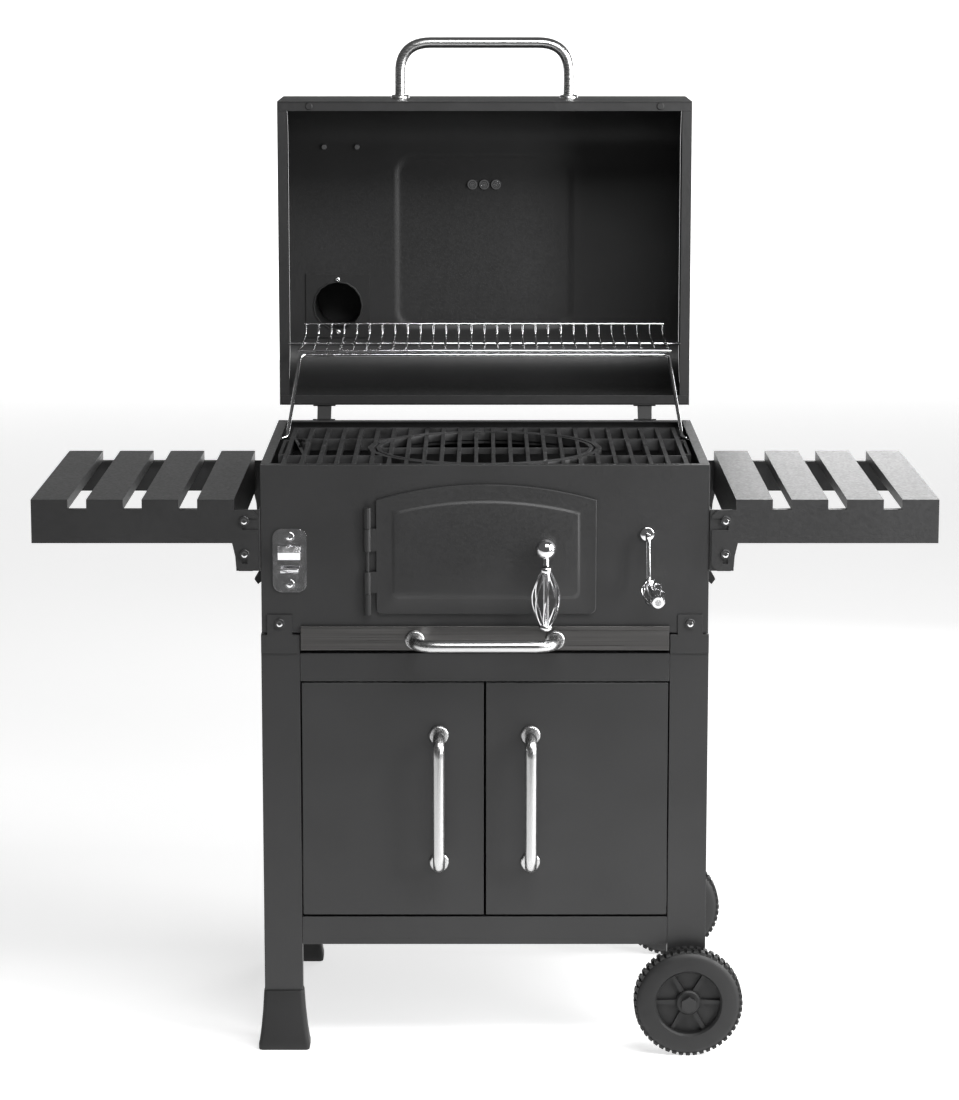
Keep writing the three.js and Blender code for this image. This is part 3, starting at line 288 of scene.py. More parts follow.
def add_lathe(bm, profile, centre, axis, segments):
    """A turned shape. Its profile lists distances along the axis and radii."""
    axis = Vector(axis).normalized()
    start = X_AXIS if abs(axis.x) < 0.8 else Z_AXIS
    across = (start - axis * start.dot(axis)).normalized()
    up = axis.cross(across)
    rings = []
    for along, r in profile:
        centre_point = Vector(centre) + axis * along
        if r < 1e-7:
            rings.append([bm.verts.new(centre_point)])
            continue
        angles = [2 * math.pi * i / segments for i in range(segments)]
        rings.append(
            [bm.verts.new(centre_point + across * r * math.cos(a) + up * r * math.sin(a)) for a in angles]
        )
    for lower, upper in zip(rings, rings[1:]):
        for i in range(segments):
            j = (i + 1) % segments
            corners = [lower[i % len(lower)], lower[j % len(lower)]]
            corners += [upper[j % len(upper)], upper[i % len(upper)]]
            unique = list(dict.fromkeys(corners))
            if len(unique) > 2:
                bm.faces.new(unique)


def add_prism(bm, outline, to_place, depth):
    """A flat outline made solid. to_place puts a point of it in space, and depth is its thickness."""
    bottom = [bm.verts.new(to_place(*point)) for point in outline]
    top = [bm.verts.new(vertex.co + Vector(depth)) for vertex in bottom]
    bm.faces.new(bottom)
    bm.faces.new(top[::-1])
    for i in range(len(outline)):
        j = (i + 1) % len(outline)
        bm.faces.new((bottom[i], top[i], top[j], bottom[j]))


def arc(centre, radius, start, end, steps):
    """Points along an arc in a plane, from one angle in degrees to another."""
    angles = [math.radians(start + (end - start) * i / steps) for i in range(steps + 1)]
    return [(centre[0] + radius * math.cos(a), centre[1] + radius * math.sin(a)) for a in angles]


def rounded_path(corners, bend, steps=8):
    """A path through corners, each rounded by a bend that starts that far from it."""
    corners = [Vector(c) for c in corners]
    path = [corners[0]]
    for before, corner, after in zip(corners, corners[1:], corners[2:]):
        start = corner + (before - corner).normalized() * bend
        end = corner + (after - corner).normalized() * bend
        for i in range(steps + 1):
            t = i / steps
            path.append(start * (1 - t) ** 2 + corner * 2 * t * (1 - t) + end * t**2)
    path.append(corners[-1])
    return path


def rounded_rectangle(half_width, half_height, corner, steps=6):
    points = []
    for quarter, (sx, sy) in enumerate([(1, 1), (-1, 1), (-1, -1), (1, -1)]):
        centre = (sx * (half_width - corner), sy * (half_height - corner))
        points += arc(centre, corner, 90 * quarter, 90 * quarter + 90, steps)
    return points


# ---------- The lid's own frame: it is drawn closed, then turned up about its hinge ----------

HINGE = Vector(JOINTS["lid_hinge"]["pos_m"])


def opened(point):
    """Where a point of the closed lid is when the lid stands open."""
    y, z = point[1] - HINGE.y, point[2] - HINGE.z
    return Vector((point[0], HINGE.y + z, HINGE.z - y))


def closed_up():
    """The direction that points up when the lid is closed."""
    return opened((0, 0, 1)) - opened((0, 0, 0))


# ---------- Fasteners ----------

NUT_SIDES, SCREW_SEGMENTS, THREAD_SEGMENTS = 6, 20, 14
DOME_STEPS, DOME_FULLNESS = 6, 0.6
RECESS_SHARE, RECESS_TAPER, RECESS_DEPTH = 0.32, 0.7, 1.6 * MM


def add_pan_screw(bm, place, outward, radius, height):
    """A domed screw head with a round recess. The cross of the real recess is not cut."""
    profile = [(0, 0), (0, radius)]
    for i in range(1, DOME_STEPS):
        angle = math.pi / 2 * i / DOME_STEPS
        profile.append((height * math.sin(angle), radius * math.cos(angle) ** DOME_FULLNESS))
    recess, floor = radius * RECESS_SHARE, height - RECESS_DEPTH
    profile += [(height, recess), (floor, recess * RECESS_TAPER), (floor, 0)]
    add_lathe(bm, profile, place, outward, SCREW_SEGMENTS)


def add_hex_nut(bm, place, outward, radius, height):
    """A chamfered six-sided nut with its thread end standing out."""
    nut = [(0, 0), (0, radius), (height * 0.85, radius), (height, radius * 0.86), (height, 0)]
    add_lathe(bm, nut, place, outward, NUT_SIDES)
    base = Vector(place) + Vector(outward).normalized() * height * 0.9
    shoulder, tip = height * 0.5, height * 0.6
    thread = [(0, 0), (0, radius * 0.5), (shoulder, radius * 0.5), (tip, radius * 0.4), (tip, 0)]
    add_lathe(bm, thread, base, outward, THREAD_SEGMENTS)


# ---------- Bar handles ----------

TUBE = 8 * MM
COLLAR_RADIUS = 13.5 * MM
COLLAR_HEIGHT = 4.5 * MM
BAR_SEGMENTS, BEND_STEPS = 28, 12
DOOR_BEND, DRAWER_BEND, LID_BEND = 22 * MM, 30 * MM, 45 * MM


def collar_profile():
    """A handle's collar: a flat rim, then two steps up to the tube."""
    rim, height = COLLAR_RADIUS, COLLAR_HEIGHT
    profile = [(0, 0), (0, rim), (height * 0.5, rim), (height * 0.8, rim - 0.8 * MM)]
    profile += [(height, rim - 2 * MM), (height, TUBE + 0.6 * MM)]
    return profile + [(height + MM, TUBE + 0.5 * MM), (height + MM, 0)]


def bar_handle(name, posts, outward, bend, body, node, material="brushed_steel"):
    """A bent tube between two posts, each with a stepped collar on the sheet behind it."""
    bm = bmesh.new()
    outward = Vector(outward)
    unit = outward.normalized()
    corners = [posts[0] + unit * MM, posts[0] + outward, posts[1] + outward, posts[1] + unit * MM]
    add_sweep(bm, rounded_path(corners, bend, BEND_STEPS), TUBE, BAR_SEGMENTS)
    for post in posts:
        add_lathe(bm, collar_profile(), post + unit * 0.3 * MM, unit, BAR_SEGMENTS)
    finished(bm, name, body, "brushed_steel", [node], material, smooth=35)


def handle_posts(node, along, face_depth, spread_axis):
    """The two points where a bar handle's posts meet the sheet, from its node's box."""
    low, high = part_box(node)
    ends = []
    for limit, inward in ((low, 1), (high, -1)):
        point = (low + high) / 2
        point[spread_axis] = limit[spread_axis] + inward * COLLAR_RADIUS
        point[along] = face_depth
        ends.append(point)
    return ends


def bar_handles():
    """The handles of the doors, the ash drawer and the lid, sized from their CAD nodes."""
    for side in SIDES:
        node = f"door_handle_{side}"
        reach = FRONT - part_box(node)[0].y - TUBE
        posts = handle_posts(node, 1, FRONT, 2)
        outward = (0, -reach, 0)
        upright = "brushed_steel_upright"
        bar_handle(f"door_bar_{side}", posts, outward, DOOR_BEND, f"door_{side}", node, upright)
    node = "ash_drawer_handle"
    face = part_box("ash_drawer_front")[0].y
    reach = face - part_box(node)[0].y - TUBE
    posts = handle_posts(node, 1, face, 0)
    bar_handle("drawer_bar", posts, (0, -reach, 0), DRAWER_BEND, "ash_drawer", node)
    node = "lid_handle"
    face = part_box("lid_skin")[1].z
    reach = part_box(node)[1].z - face - TUBE
    posts = handle_posts(node, 2, face, 0)
    bar_handle("lid_bar", posts, (0, 0, reach), LID_BEND, "lid", node)


# ---------- Lid ----------

LID_SHEET = 2 * MM
LID_FRONT, LID_BACK = FRONT - 7 * MM, FRONT + 435 * MM
LID_RIM, LID_TOP = 812 * MM, 1060 * MM
LID_FRONT_RADIUS, LID_BACK_RADIUS = 80 * MM, 70 * MM
LID_FLANGE = 14 * MM
LID_HALF = 297.7 * MM
LID_COLUMNS = 150
TOP_BAND, TOP_SPACING = 3 * MM, 4 * MM
FLUE_X, FLUE_Y, FLUE_RADIUS = -0.224, FRONT + 0.315, 0.038
FLUE_HOLE, FLUE_SURROUND = FLUE_RADIUS - 1.5 * MM, FLUE_RADIUS + 20 * MM
FLUE_PLATE, FLUE_SCREW_REACH = 2.4 * MM, 40 * MM
EMBOSS_FRONT, EMBOSS_BACK = FRONT + 0.085, FRONT + 0.350
EMBOSS_HALF_WIDTH, EMBOSS_CORNER = 0.136, 0.028
EMBOSS_DEPTH, EMBOSS_STEP = 0.0022, 0.007
BUMPER_X, BUMPER_SETBACK = 0.254, 7 * MM
BADGE_X, BADGE_Y = -0.218, FRONT + 0.099
BADGE_STUDS_X, BADGE_STUDS_Y = (-0.243, -0.193), FRONT + 0.073
PLATE_GAP = 0.4 * MM


def lid_profile(inset, steps=20):
    """The closed lid's outline from the front rim over the top to the back rim, as Y and Z."""
    front_centre = (LID_FRONT + LID_FRONT_RADIUS, LID_TOP - LID_FRONT_RADIUS)
    back_centre = (LID_BACK - LID_BACK_RADIUS, LID_TOP - LID_BACK_RADIUS)
    front = arc(front_centre, LID_FRONT_RADIUS - inset, 180, 90, steps)
    back = arc(back_centre, LID_BACK_RADIUS - inset, 90, 0, steps)
    return [(LID_FRONT + inset, LID_RIM), *front, *back, (LID_BACK - inset, LID_RIM)]


def emboss_height(x, y):
    """How far the pressed frame lifts a point of the lid's top: a soft step along a rounded rectangle."""
    centre_y = (EMBOSS_FRONT + EMBOSS_BACK) / 2
    half_depth = (EMBOSS_BACK - EMBOSS_FRONT) / 2
    dx = max(abs(x) - (EMBOSS_HALF_WIDTH - EMBOSS_CORNER), 0)
    dy = max(abs(y - centre_y) - (half_depth - EMBOSS_CORNER), 0)
    outside = math.hypot(dx, dy) - EMBOSS_CORNER
    step = min(max(-outside / EMBOSS_STEP, 0), 1)
    return EMBOSS_DEPTH * step * step * (3 - 2 * step)


def dense_profile(inset):
    """The lid's outline with extra points across the top, where the pressed frame is."""
    points = []
    outline = lid_profile(inset)
    for start, end in zip(outline, outline[1:]):
        points.append(start)
        count = int(math.dist(start, end) / TOP_SPACING)
        if start[1] > LID_TOP - TOP_BAND - inset and count > 1:
            for i in range(1, count):
                t = i / count
                points.append(tuple(start[k] + (end[k] - start[k]) * t for k in (0, 1)))
    return points + [outline[-1]]


def lid_skin():
    """The folded lid sheet, with its pressed frame and its flue hole."""
    bm = bmesh.new()
    for inset, outward in ((0, 1), (LID_SHEET, -1)):
        profile = dense_profile(inset)
        grid = []
        for i in range(LID_COLUMNS + 1):
            x = -LID_HALF + 2 * LID_HALF * i / LID_COLUMNS
            column = []
            for y, z in profile:
                lift = emboss_height(x, y) if z > LID_TOP - TOP_BAND - inset else 0
                column.append(bm.verts.new(opened((x, y, z + lift))))
            grid.append(column)
        for a, b in zip(grid, grid[1:]):
            for i in range(len(profile) - 1):
                corners = (a[i], a[i + 1], b[i + 1], b[i])
                bm.faces.new(corners if outward > 0 else corners[::-1])
    punch_flue_hole(bm)
    bm.verts.index_update()
    bmesh.ops.bridge_loops(bm, edges=outer_loops(bm))
    bmesh.ops.bridge_loops(bm, edges=[edge for edge in bm.edges if edge.is_boundary])
    finished(bm, "lid_sheet", "lid", "coated_steel", ["lid_skin"], smooth=50)


def flue_distance(vertex):
    """How far a point of the lid's top is from the flue's axis. Elsewhere on the sheet: None."""
    closed_y = HINGE.y + HINGE.z - vertex.co.z
    closed_z = HINGE.z + vertex.co.y - HINGE.y
    if closed_z < LID_TOP - LID_SHEET - TOP_SPACING:
        return None
    return math.hypot(vertex.co.x - FLUE_X, closed_y - FLUE_Y)


def punch_flue_hole(bm):
    """A round hole in both skins: faces in it go, and the ring left behind is drawn onto the circle."""
    inside = []
    for face in bm.faces:
        spans = [flue_distance(vertex) for vertex in face.verts]
        if None not in spans and min(spans) < FLUE_HOLE:
            inside.append(face)
    bmesh.ops.delete(bm, geom=inside, context="FACES")
    for vertex in {v for edge in bm.edges if edge.is_boundary for v in edge.verts}:
        span = flue_distance(vertex)
        if span is None or span > FLUE_SURROUND:
            continue
        closed_y = HINGE.y + HINGE.z - vertex.co.z
        across = Vector((vertex.co.x - FLUE_X, closed_y - FLUE_Y)) * (FLUE_HOLE / span)
        vertex.co.x = FLUE_X + across.x
        vertex.co.z = HINGE.z - (FLUE_Y + across.y - HINGE.y)


def outer_loops(bm):
    """The boundary edges round the sheet's own outline, away from the flue hole."""
    edges = []
    for edge in bm.edges:
        if not edge.is_boundary:
            continue
        spans = [flue_distance(vertex) for vertex in edge.verts]
        if None in spans or min(spans) > FLUE_SURROUND:
            edges.append(edge)
    return edges


def lid_flanges():
    """The lips turned in along the lid's front and back rims. The CAD end sheets carry the side lips."""
    front = (LID_FRONT + MM, LID_FRONT + LID_FLANGE)
    back = (LID_BACK - LID_FLANGE, LID_BACK - MM)
    for name, (near, far) in {"front": front, "back": back}.items():
        bm = bmesh.new()
        corners = [(-LID_HALF, near), (LID_HALF, near), (LID_HALF, far), (-LID_HALF, far)]
        thickness = opened((0, 0, LID_RIM + LID_SHEET)) - opened((0, 0, LID_RIM))
        add_prism(bm, corners, lambda x, y: opened((x, y, LID_RIM)), thickness)
        strip = finished(bm, f"lid_flange_{name}", "lid", "coated_steel")
        rounded_edges(strip, 0.5 * MM)


def lid_bumpers():
    """Two plastic bumpers in the front flange, a little proud of it."""
    sunk, edge, proud = -1.5 * MM, 0.5 * MM, 1.6 * MM
    profile = [(sunk, 0), (sunk, 5.5 * MM), (edge, 5.5 * MM), (proud, 4.4 * MM), (proud, 0)]
    bm = bmesh.new()
    for x in (-BUMPER_X, BUMPER_X):
        place = opened((x, LID_FRONT + BUMPER_SETBACK, LID_RIM))
        add_lathe(bm, profile, place, -closed_up(), SCREW_SEGMENTS)
    finished(bm, "lid_bumpers", "lid", "black_plastic")


def lid_inside_nuts():
    """The badge's two nuts and two of the flue plate's screws, on the inside of the lid."""
    inside = LID_TOP - LID_SHEET
    bm = bmesh.new()
    for x in BADGE_STUDS_X:
        add_hex_nut(bm, opened((x, BADGE_STUDS_Y, inside)), -closed_up(), 4.6 * MM, 5 * MM)
    for reach in (FLUE_SCREW_REACH, -FLUE_SCREW_REACH):
        place = opened((FLUE_X, FLUE_Y + reach, inside - FLUE_PLATE))
        add_pan_screw(bm, place, -closed_up(), 4.4 * MM, 2.6 * MM)
    finished(bm, "lid_inside_nuts", "lid", "chrome")


def badge_plate():
    """The blank plate on the outside of the lid."""
    bm = bmesh.new()
    outline = rounded_rectangle(0.036, 0.017, 0.006)
    level = LID_TOP + PLATE_GAP
    add_prism(bm, outline, lambda x, y: opened((BADGE_X + x, BADGE_Y + y, level)), closed_up() * 1.5 * MM)
    rounded_edges(finished(bm, "badge_plate", "lid", "brushed_steel"), 0.5 * MM)


# ---------- Thermometer ----------

THERMOMETER_Y = FRONT + 0.130
THERMOMETER_STUDS_X = (-0.018, 0, 0.018)
BEZEL = [(0, 0), (0, 0.033), (0.004, 0.036), (0.012, 0.036), (0.0155, 0.0345), (0.0155, 0.0315)]
DIAL_FACE = [(0.0125, 0.031), (0.0125, 0.012), (0.0135, 0.008), (0.0135, 0)]
WASHER = [(0, 0), (0, 0.0075), (0.001, 0.0075), (0.001, 0)]


def thermometer():
    """A bezel round a sunk face on the outside of the lid, and the nuts on its studs inside."""
    up = closed_up()
    bm = bmesh.new()
    add_lathe(bm, BEZEL + DIAL_FACE, opened((0, THERMOMETER_Y, LID_TOP + PLATE_GAP)), up, 56)
    inside = LID_TOP - LID_SHEET - 0.3 * MM
    nuts = bmesh.new()
    for x in THERMOMETER_STUDS_X:
        place = opened((x, THERMOMETER_Y, inside))
        add_lathe(nuts, WASHER, place, -up, 20)
        add_hex_nut(nuts, place - up * MM, -up, 5.7 * MM, 4.5 * MM)
    finished(nuts, "thermometer_nuts", "lid", "chrome", smooth=35)
    finished(bm, "thermometer_dial", "lid", "brushed_steel", ["thermometer"], smooth=35)


# ---------- Wheels and feet ----------

# Profiles of one side of each wheel part, as distance in from that side and radius.
TYRE_SIDE = [(0.003, 0.0435), (0.0, 0.046), (0.0, 0.064), (0.003, 0.0695), (0.0055, 0.0712)]
HUB_SIDE = [(0.004, 0.0065), (0.004, 0.015), (0.006, 0.017)]
HUB_BORE, WEB_RADIUS = 6.5 * MM, 44 * MM
SPOKES, TREAD_BLOCKS = 6, 48
SPOKE_PLAN = [(0.0155, -0.0034), (0.0155, 0.0034), (0.0445, 0.0024), (0.0445, -0.0024)]
TREAD_FOOT, TREAD_HALF, TREAD_EDGE, TREAD_SPLIT = 70.5 * MM, 3.4 * MM, 3.5 * MM, MM
BLOCK_QUADS = ((0, 1, 2, 3), (7, 6, 5, 4), (0, 4, 5, 1), (1, 5, 6, 2), (2, 6, 7, 3), (3, 7, 4, 0))


def both_sides(side, width):
    """A closed profile from one side's half, mirrored across a width."""
    profile = side + [(width - along, r) for along, r in reversed(side)]
    return profile + profile[:1]


def add_wheel_block(bm, start, angle, depths, plan):
    """A block at an angle round the axle. Its plan lists radii and sideways offsets."""
    out = Vector((math.cos(angle), 0, math.sin(angle)))
    side = Vector((-math.sin(angle), 0, math.cos(angle)))
    verts = [bm.verts.new(start + Y_AXIS * depth + out * r + side * s) for depth in depths for r, s in plan]
    for quad in BLOCK_QUADS:
        bm.faces.new([verts[k] for k in quad])


def tyre(name, node, start, width, outer):
    """A tyre with two rows of tread blocks, set half a block apart."""
    bm = bmesh.new()
    add_lathe(bm, both_sides(TYRE_SIDE, width), start, Y_AXIS, 64)
    reach, tip = outer - 0.1 * MM, TREAD_HALF * 0.8
    plan = [(TREAD_FOOT, -TREAD_HALF), (TREAD_FOOT, TREAD_HALF), (reach, tip), (reach, -tip)]
    first_row = (TREAD_EDGE, width / 2 - TREAD_SPLIT)
    second_row = (width / 2 + TREAD_SPLIT, width - TREAD_EDGE)
    for i in range(TREAD_BLOCKS):
        for depths, shift in ((first_row, 0), (second_row, 0.5)):
            add_wheel_block(bm, start, 2 * math.pi * (i + shift) / TREAD_BLOCKS, depths, plan)
    finished(bm, name, node, "black_plastic", smooth=30)


def wheel_web(name, node, start, width):
    """A flat web and a hub, with ribs on both faces. The CAD web's three holes are not cut."""
    near, far = width / 2 - 2 * MM, width / 2 + 6 * MM
    web = [(near, HUB_BORE), (near, WEB_RADIUS), (far, WEB_RADIUS), (far, HUB_BORE), (near, HUB_BORE)]
    bm = bmesh.new()
    add_lathe(bm, web, start, Y_AXIS, 64)
    add_lathe(bm, both_sides(HUB_SIDE, width), start, Y_AXIS, 40)
    for i in range(SPOKES):
        for depths in ((9 * MM, width / 2 - MM), (width / 2 + 5 * MM, width - 7 * MM)):
            add_wheel_block(bm, start, 2 * math.pi * i / SPOKES, depths, SPOKE_PLAN)
    finished(bm, name, node, "black_plastic", [node], smooth=30)


def wheels():
    for end in ("front", "rear"):
        node = f"wheel_{end}"
        low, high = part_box(node)
        centre = (low + high) / 2
        start = Vector((centre.x, low.y, centre.z))
        width, outer = high.y - low.y, (high.z - low.z) / 2
        tyre(f"tyre_{end}", node, start, width, outer)
        wheel_web(f"wheel_web_{end}", node, start, width)


# The boot's flare: height above the floor and share of its full width.
BOOT_LEVELS = [(0, 0.985), (0.0015, 1.0), (0.008, 1.0), (0.014, 0.965), (0.03, 0.9), (0.055, 0.83)]
BOOT_LIP, BOOT_LIP_SHARE, BOOT_TOP_SHARE = 2 * MM, 0.785, 0.77
BOOT_DEPTH_TAPER = 1.35
BOOT_CORNER, BOOT_CORNER_STEPS = 6 * MM, 5
LEG_POCKET, LEG_POCKET_CORNER, LEG_POCKET_FLOOR = (0.0264, 0.0104), MM, 11 * MM


def feet():
    """Flared plastic boots on the left legs, with rounded corners and a pocket for the leg."""
    for end in ("front", "rear"):
        node = f"foot_{end}"
        low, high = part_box(node)
        centre = (low + high) / 2
        full = Vector((high.x - low.x, high.y - low.y)) / 2
        height = high.z - low.z
        levels = [*BOOT_LEVELS, (height - BOOT_LIP, BOOT_LIP_SHARE), (height, BOOT_TOP_SHARE)]
        bm = bmesh.new()
        rings = []
        for z, share in levels:
            depth_share = 1 - (1 - share) * BOOT_DEPTH_TAPER
            ring = rounded_rectangle(
                full.x * share, full.y * depth_share, BOOT_CORNER, BOOT_CORNER_STEPS
            )
            rings.append([bm.verts.new((centre.x + x, centre.y + y, low.z + z)) for x, y in ring])
        for a, b in zip(rings, rings[1:]):
            join_rings(bm, a, b)
        bm.faces.new(rings[0][::-1])
        pocket = []
        for z in (low.z + height, low.z + LEG_POCKET_FLOOR):
            ring = rounded_rectangle(*LEG_POCKET, LEG_POCKET_CORNER, BOOT_CORNER_STEPS)
            pocket.append([bm.verts.new((centre.x + x, centre.y + y, z)) for x, y in ring])
        join_rings(bm, rings[-1], pocket[0])
        join_rings(bm, pocket[0], pocket[1])
        bm.faces.new(pocket[1])
        finished(bm, f"boot_{end}", "cart", "black_plastic", [node], smooth=40)


# ---------- Rack and bail ----------

BAIL_RADIUS = 2.5 * MM
BAIL_FOOT_Y, BAIL_FOOT_Z = FRONT + 0.319, 0.800
BAIL_TOP_Y, BAIL_TOP_Z = FRONT + 0.454, 0.903
BAIL_END_X, BAIL_BEND_X, BAIL_TOP_X = 0.302, 0.2815, 0.268
RACK_HALF, RACK_RISE, RACK_BEND = 0.272, 20 * MM, 7 * MM
RACK_FLOOR = BAIL_TOP_Z + BAIL_RADIUS + 2.4 * MM
RACK_FRONT, RACK_BACK = FRONT + 0.452, FRONT + 0.654
RACK_WIRES, RACK_WIRE_RADIUS, RACK_END_MARGIN = 29, 1.6 * MM, 2 * MM
EDGE_WIRE_RADIUS, EDGE_WIRE_OFFSET = 1.9 * MM, 1.5 * MM
ROD_Y, ROD_HALF = FRONT + 0.597, 0.3058


def wire_rack():
    """The warming rack's bent wires, its two edge wires and its pivot rod."""
    low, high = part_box("warming_rack")
    centre_x = (low.x + high.x) / 2
    top = RACK_FLOOR + RACK_RISE
    spacing = (2 * (RACK_HALF - RACK_END_MARGIN)) / (RACK_WIRES - 1)
    bm = bmesh.new()
    for i in range(RACK_WIRES):
        x = centre_x - RACK_HALF + RACK_END_MARGIN + spacing * i
        corners = [(x, RACK_FRONT, RACK_FLOOR), (x, RACK_BACK, RACK_FLOOR), (x, RACK_BACK, top)]
        add_sweep(bm, rounded_path(corners, RACK_BEND, 5), RACK_WIRE_RADIUS, 8)
    front_z, back_z = RACK_FLOOR + EDGE_WIRE_OFFSET, top - EDGE_WIRE_OFFSET
    for y, z in ((RACK_FRONT, front_z), (RACK_BACK, back_z)):
        add_sweep(bm, [(-RACK_HALF, y, z), (RACK_HALF, y, z)], EDGE_WIRE_RADIUS, 12)
    add_sweep(bm, [(-ROD_HALF, ROD_Y, BAIL_TOP_Z), (ROD_HALF, ROD_Y, BAIL_TOP_Z)], BAIL_RADIUS, 16)
    finished(bm, "rack_wires", "warming_rack", "chrome", ["warming_rack"], smooth=45)


def bail_wire():
    """The bail is one wire with rounded bends."""
    left = [
        (-BAIL_END_X, BAIL_FOOT_Y, BAIL_FOOT_Z),
        (-BAIL_BEND_X, BAIL_FOOT_Y, BAIL_FOOT_Z),
        (-BAIL_TOP_X, BAIL_TOP_Y, BAIL_TOP_Z),
    ]
    corners = left + [(-x, y, z) for x, y, z in reversed(left)]
    bm = bmesh.new()
    add_sweep(bm, rounded_path(corners, 9 * MM, 7), BAIL_RADIUS, 14)
    finished(bm, "bail_bar", "rack_bail", "chrome", ["rack_bail"], smooth=45)


# ---------- Wire-cage grips ----------

CAGE_CORE = 4.2 * MM
CAGE_WIRES, CAGE_STEPS, CAGE_WIRE_RADIUS, CAGE_TWIST = 8, 18, 1.1 * MM, 0.9
CAGE_INSET, CAGE_END_RADIUS, CAGE_SWELL_MARGIN = 4 * MM, 5.5 * MM, 7.2 * MM
NEAR_CAP = [(0, 0), (0, 0.0065), (0.0015, 0.0078), (0.006, 0.0078), (0.008, 0.006), (0.008, 0)]
FAR_CAP = [(0, 0), (0, 0.007), (0.002, 0.0093), (0.0055, 0.0093), (0.0078, 0.0075), (0.0078, 0)]
FAR_CAP_LENGTH = 7.8 * MM


def cage_grip(name, node, body, start, end, swell):
    """A bowed wire cage between two turned end caps, on its core rod."""
    start, end = Vector(start), Vector(end)
    axis = (end - start).normalized()
    span = (end - start).length
    bm = bmesh.new()
    add_sweep(bm, [start, end], CAGE_CORE, 20)
    add_lathe(bm, NEAR_CAP, start, axis, 28)
    add_lathe(bm, FAR_CAP, end - axis * FAR_CAP_LENGTH, axis, 28)
    sideways = Z_AXIS.cross(axis)
    sideways = sideways.normalized() if sideways.length > 0.1 else X_AXIS.copy()
    other = axis.cross(sideways)
    for i in range(CAGE_WIRES):
        points = []
        for step in range(CAGE_STEPS + 1):
            share = step / CAGE_STEPS
            turn = 2 * math.pi * i / CAGE_WIRES + CAGE_TWIST * (share - 0.5)
            out = sideways * math.cos(turn) + other * math.sin(turn)
            radius = CAGE_END_RADIUS + (swell - CAGE_SWELL_MARGIN) * math.sin(math.pi * share)
            along = CAGE_INSET + (span - 2 * CAGE_INSET) * share
            points.append(start + axis * along + out * radius)
        add_sweep(bm, points, CAGE_WIRE_RADIUS, 7)
    finished(bm, name, body, "chrome", [node], smooth=50)


# ---------- Latch, crank and charcoal door ----------

LATCH = Vector((0.081, FRONT - 0.030, 0.701))
LATCH_BALL, LATCH_NECK, LATCH_BALL_STEPS = 14 * MM, 30 * MM, 15
LATCH_SHOULDER = [(0, 0.005), (0.006, 0.006), (0.009, 0.0075)]
LATCH_HANG_Y, LATCH_STEM_DROP, LATCH_CAGE_DROP = -7 * MM, -22 * MM, -23 * MM
LATCH_CAGE_END, LATCH_CAGE_SWELL = (0.081, FRONT - 0.040, 0.5935), 20 * MM
TONGUE_LOW, TONGUE_HIGH = (0.076, FRONT + 0.009, 0.695), (0.103, FRONT + 0.012, 0.707)


def latch():
    """A ball knob on its shaft, with a tongue behind the sheet and a short stem down into its grip."""
    ball, neck = LATCH_BALL, LATCH_NECK
    profile = [(0, 0), *LATCH_SHOULDER]
    for i in range(1, LATCH_BALL_STEPS):
        angle = math.pi * i / LATCH_BALL_STEPS
        along = neck + ball - ball * (1 + math.cos(angle)) + 0.1 * MM
        profile.append((along, ball * math.sin(angle)))
    profile.append((neck + ball, 0))
    bm = bmesh.new()
    add_lathe(bm, profile, LATCH + Y_AXIS * neck, -Y_AXIS, 36)
    add_sweep(bm, [LATCH + Y_AXIS * 0.044, LATCH + Y_AXIS * 0.028], 5 * MM, 24)
    add_box(bm, TONGUE_LOW, TONGUE_HIGH)
    add_sweep(bm, [LATCH, LATCH + Vector((0, LATCH_HANG_Y, LATCH_STEM_DROP))], 4.5 * MM, 20)
    finished(bm, "latch_knob", "charcoal_latch", "chrome", ["charcoal_latch"], smooth=40)
    top = LATCH + Vector((0, LATCH_HANG_Y, LATCH_CAGE_DROP))
    cage_grip("latch_cage", "charcoal_latch_grip", "charcoal_latch", top, LATCH_CAGE_END, LATCH_CAGE_SWELL)


CRANK = Vector((0.217, FRONT, 0.717))
CRANK_PATH = [
    (0.217, FRONT + 0.021, 0.717),
    (0.217, FRONT - 0.027, 0.717),
    (0.218, FRONT - 0.030, 0.6566),
    (0.2181, FRONT - 0.0365, 0.6558),
]
CRANK_COLLAR = [(0, 0), (0, 0.0085), (0.001, 0.009), (0.0042, 0.009), (0.0047, 0.0082), (0.0047, 0)]
CRANK_CAGE_START, CRANK_CAGE_END = (0.2182, FRONT - 0.038, 0.6556), (0.226, FRONT - 0.124, 0.6466)
CRANK_CAGE_SWELL = 17 * MM
PINION_TEETH, PINION_ROOT, PINION_TIP, PINION_DEPTH = 18, 8.6 * MM, 9.9 * MM, 8 * MM
# Where a tooth's outline turns, as shares of one tooth.
PINION_TOOTH = ((0, PINION_ROOT), (0.25, PINION_ROOT), (0.4, PINION_TIP), (0.85, PINION_TIP))


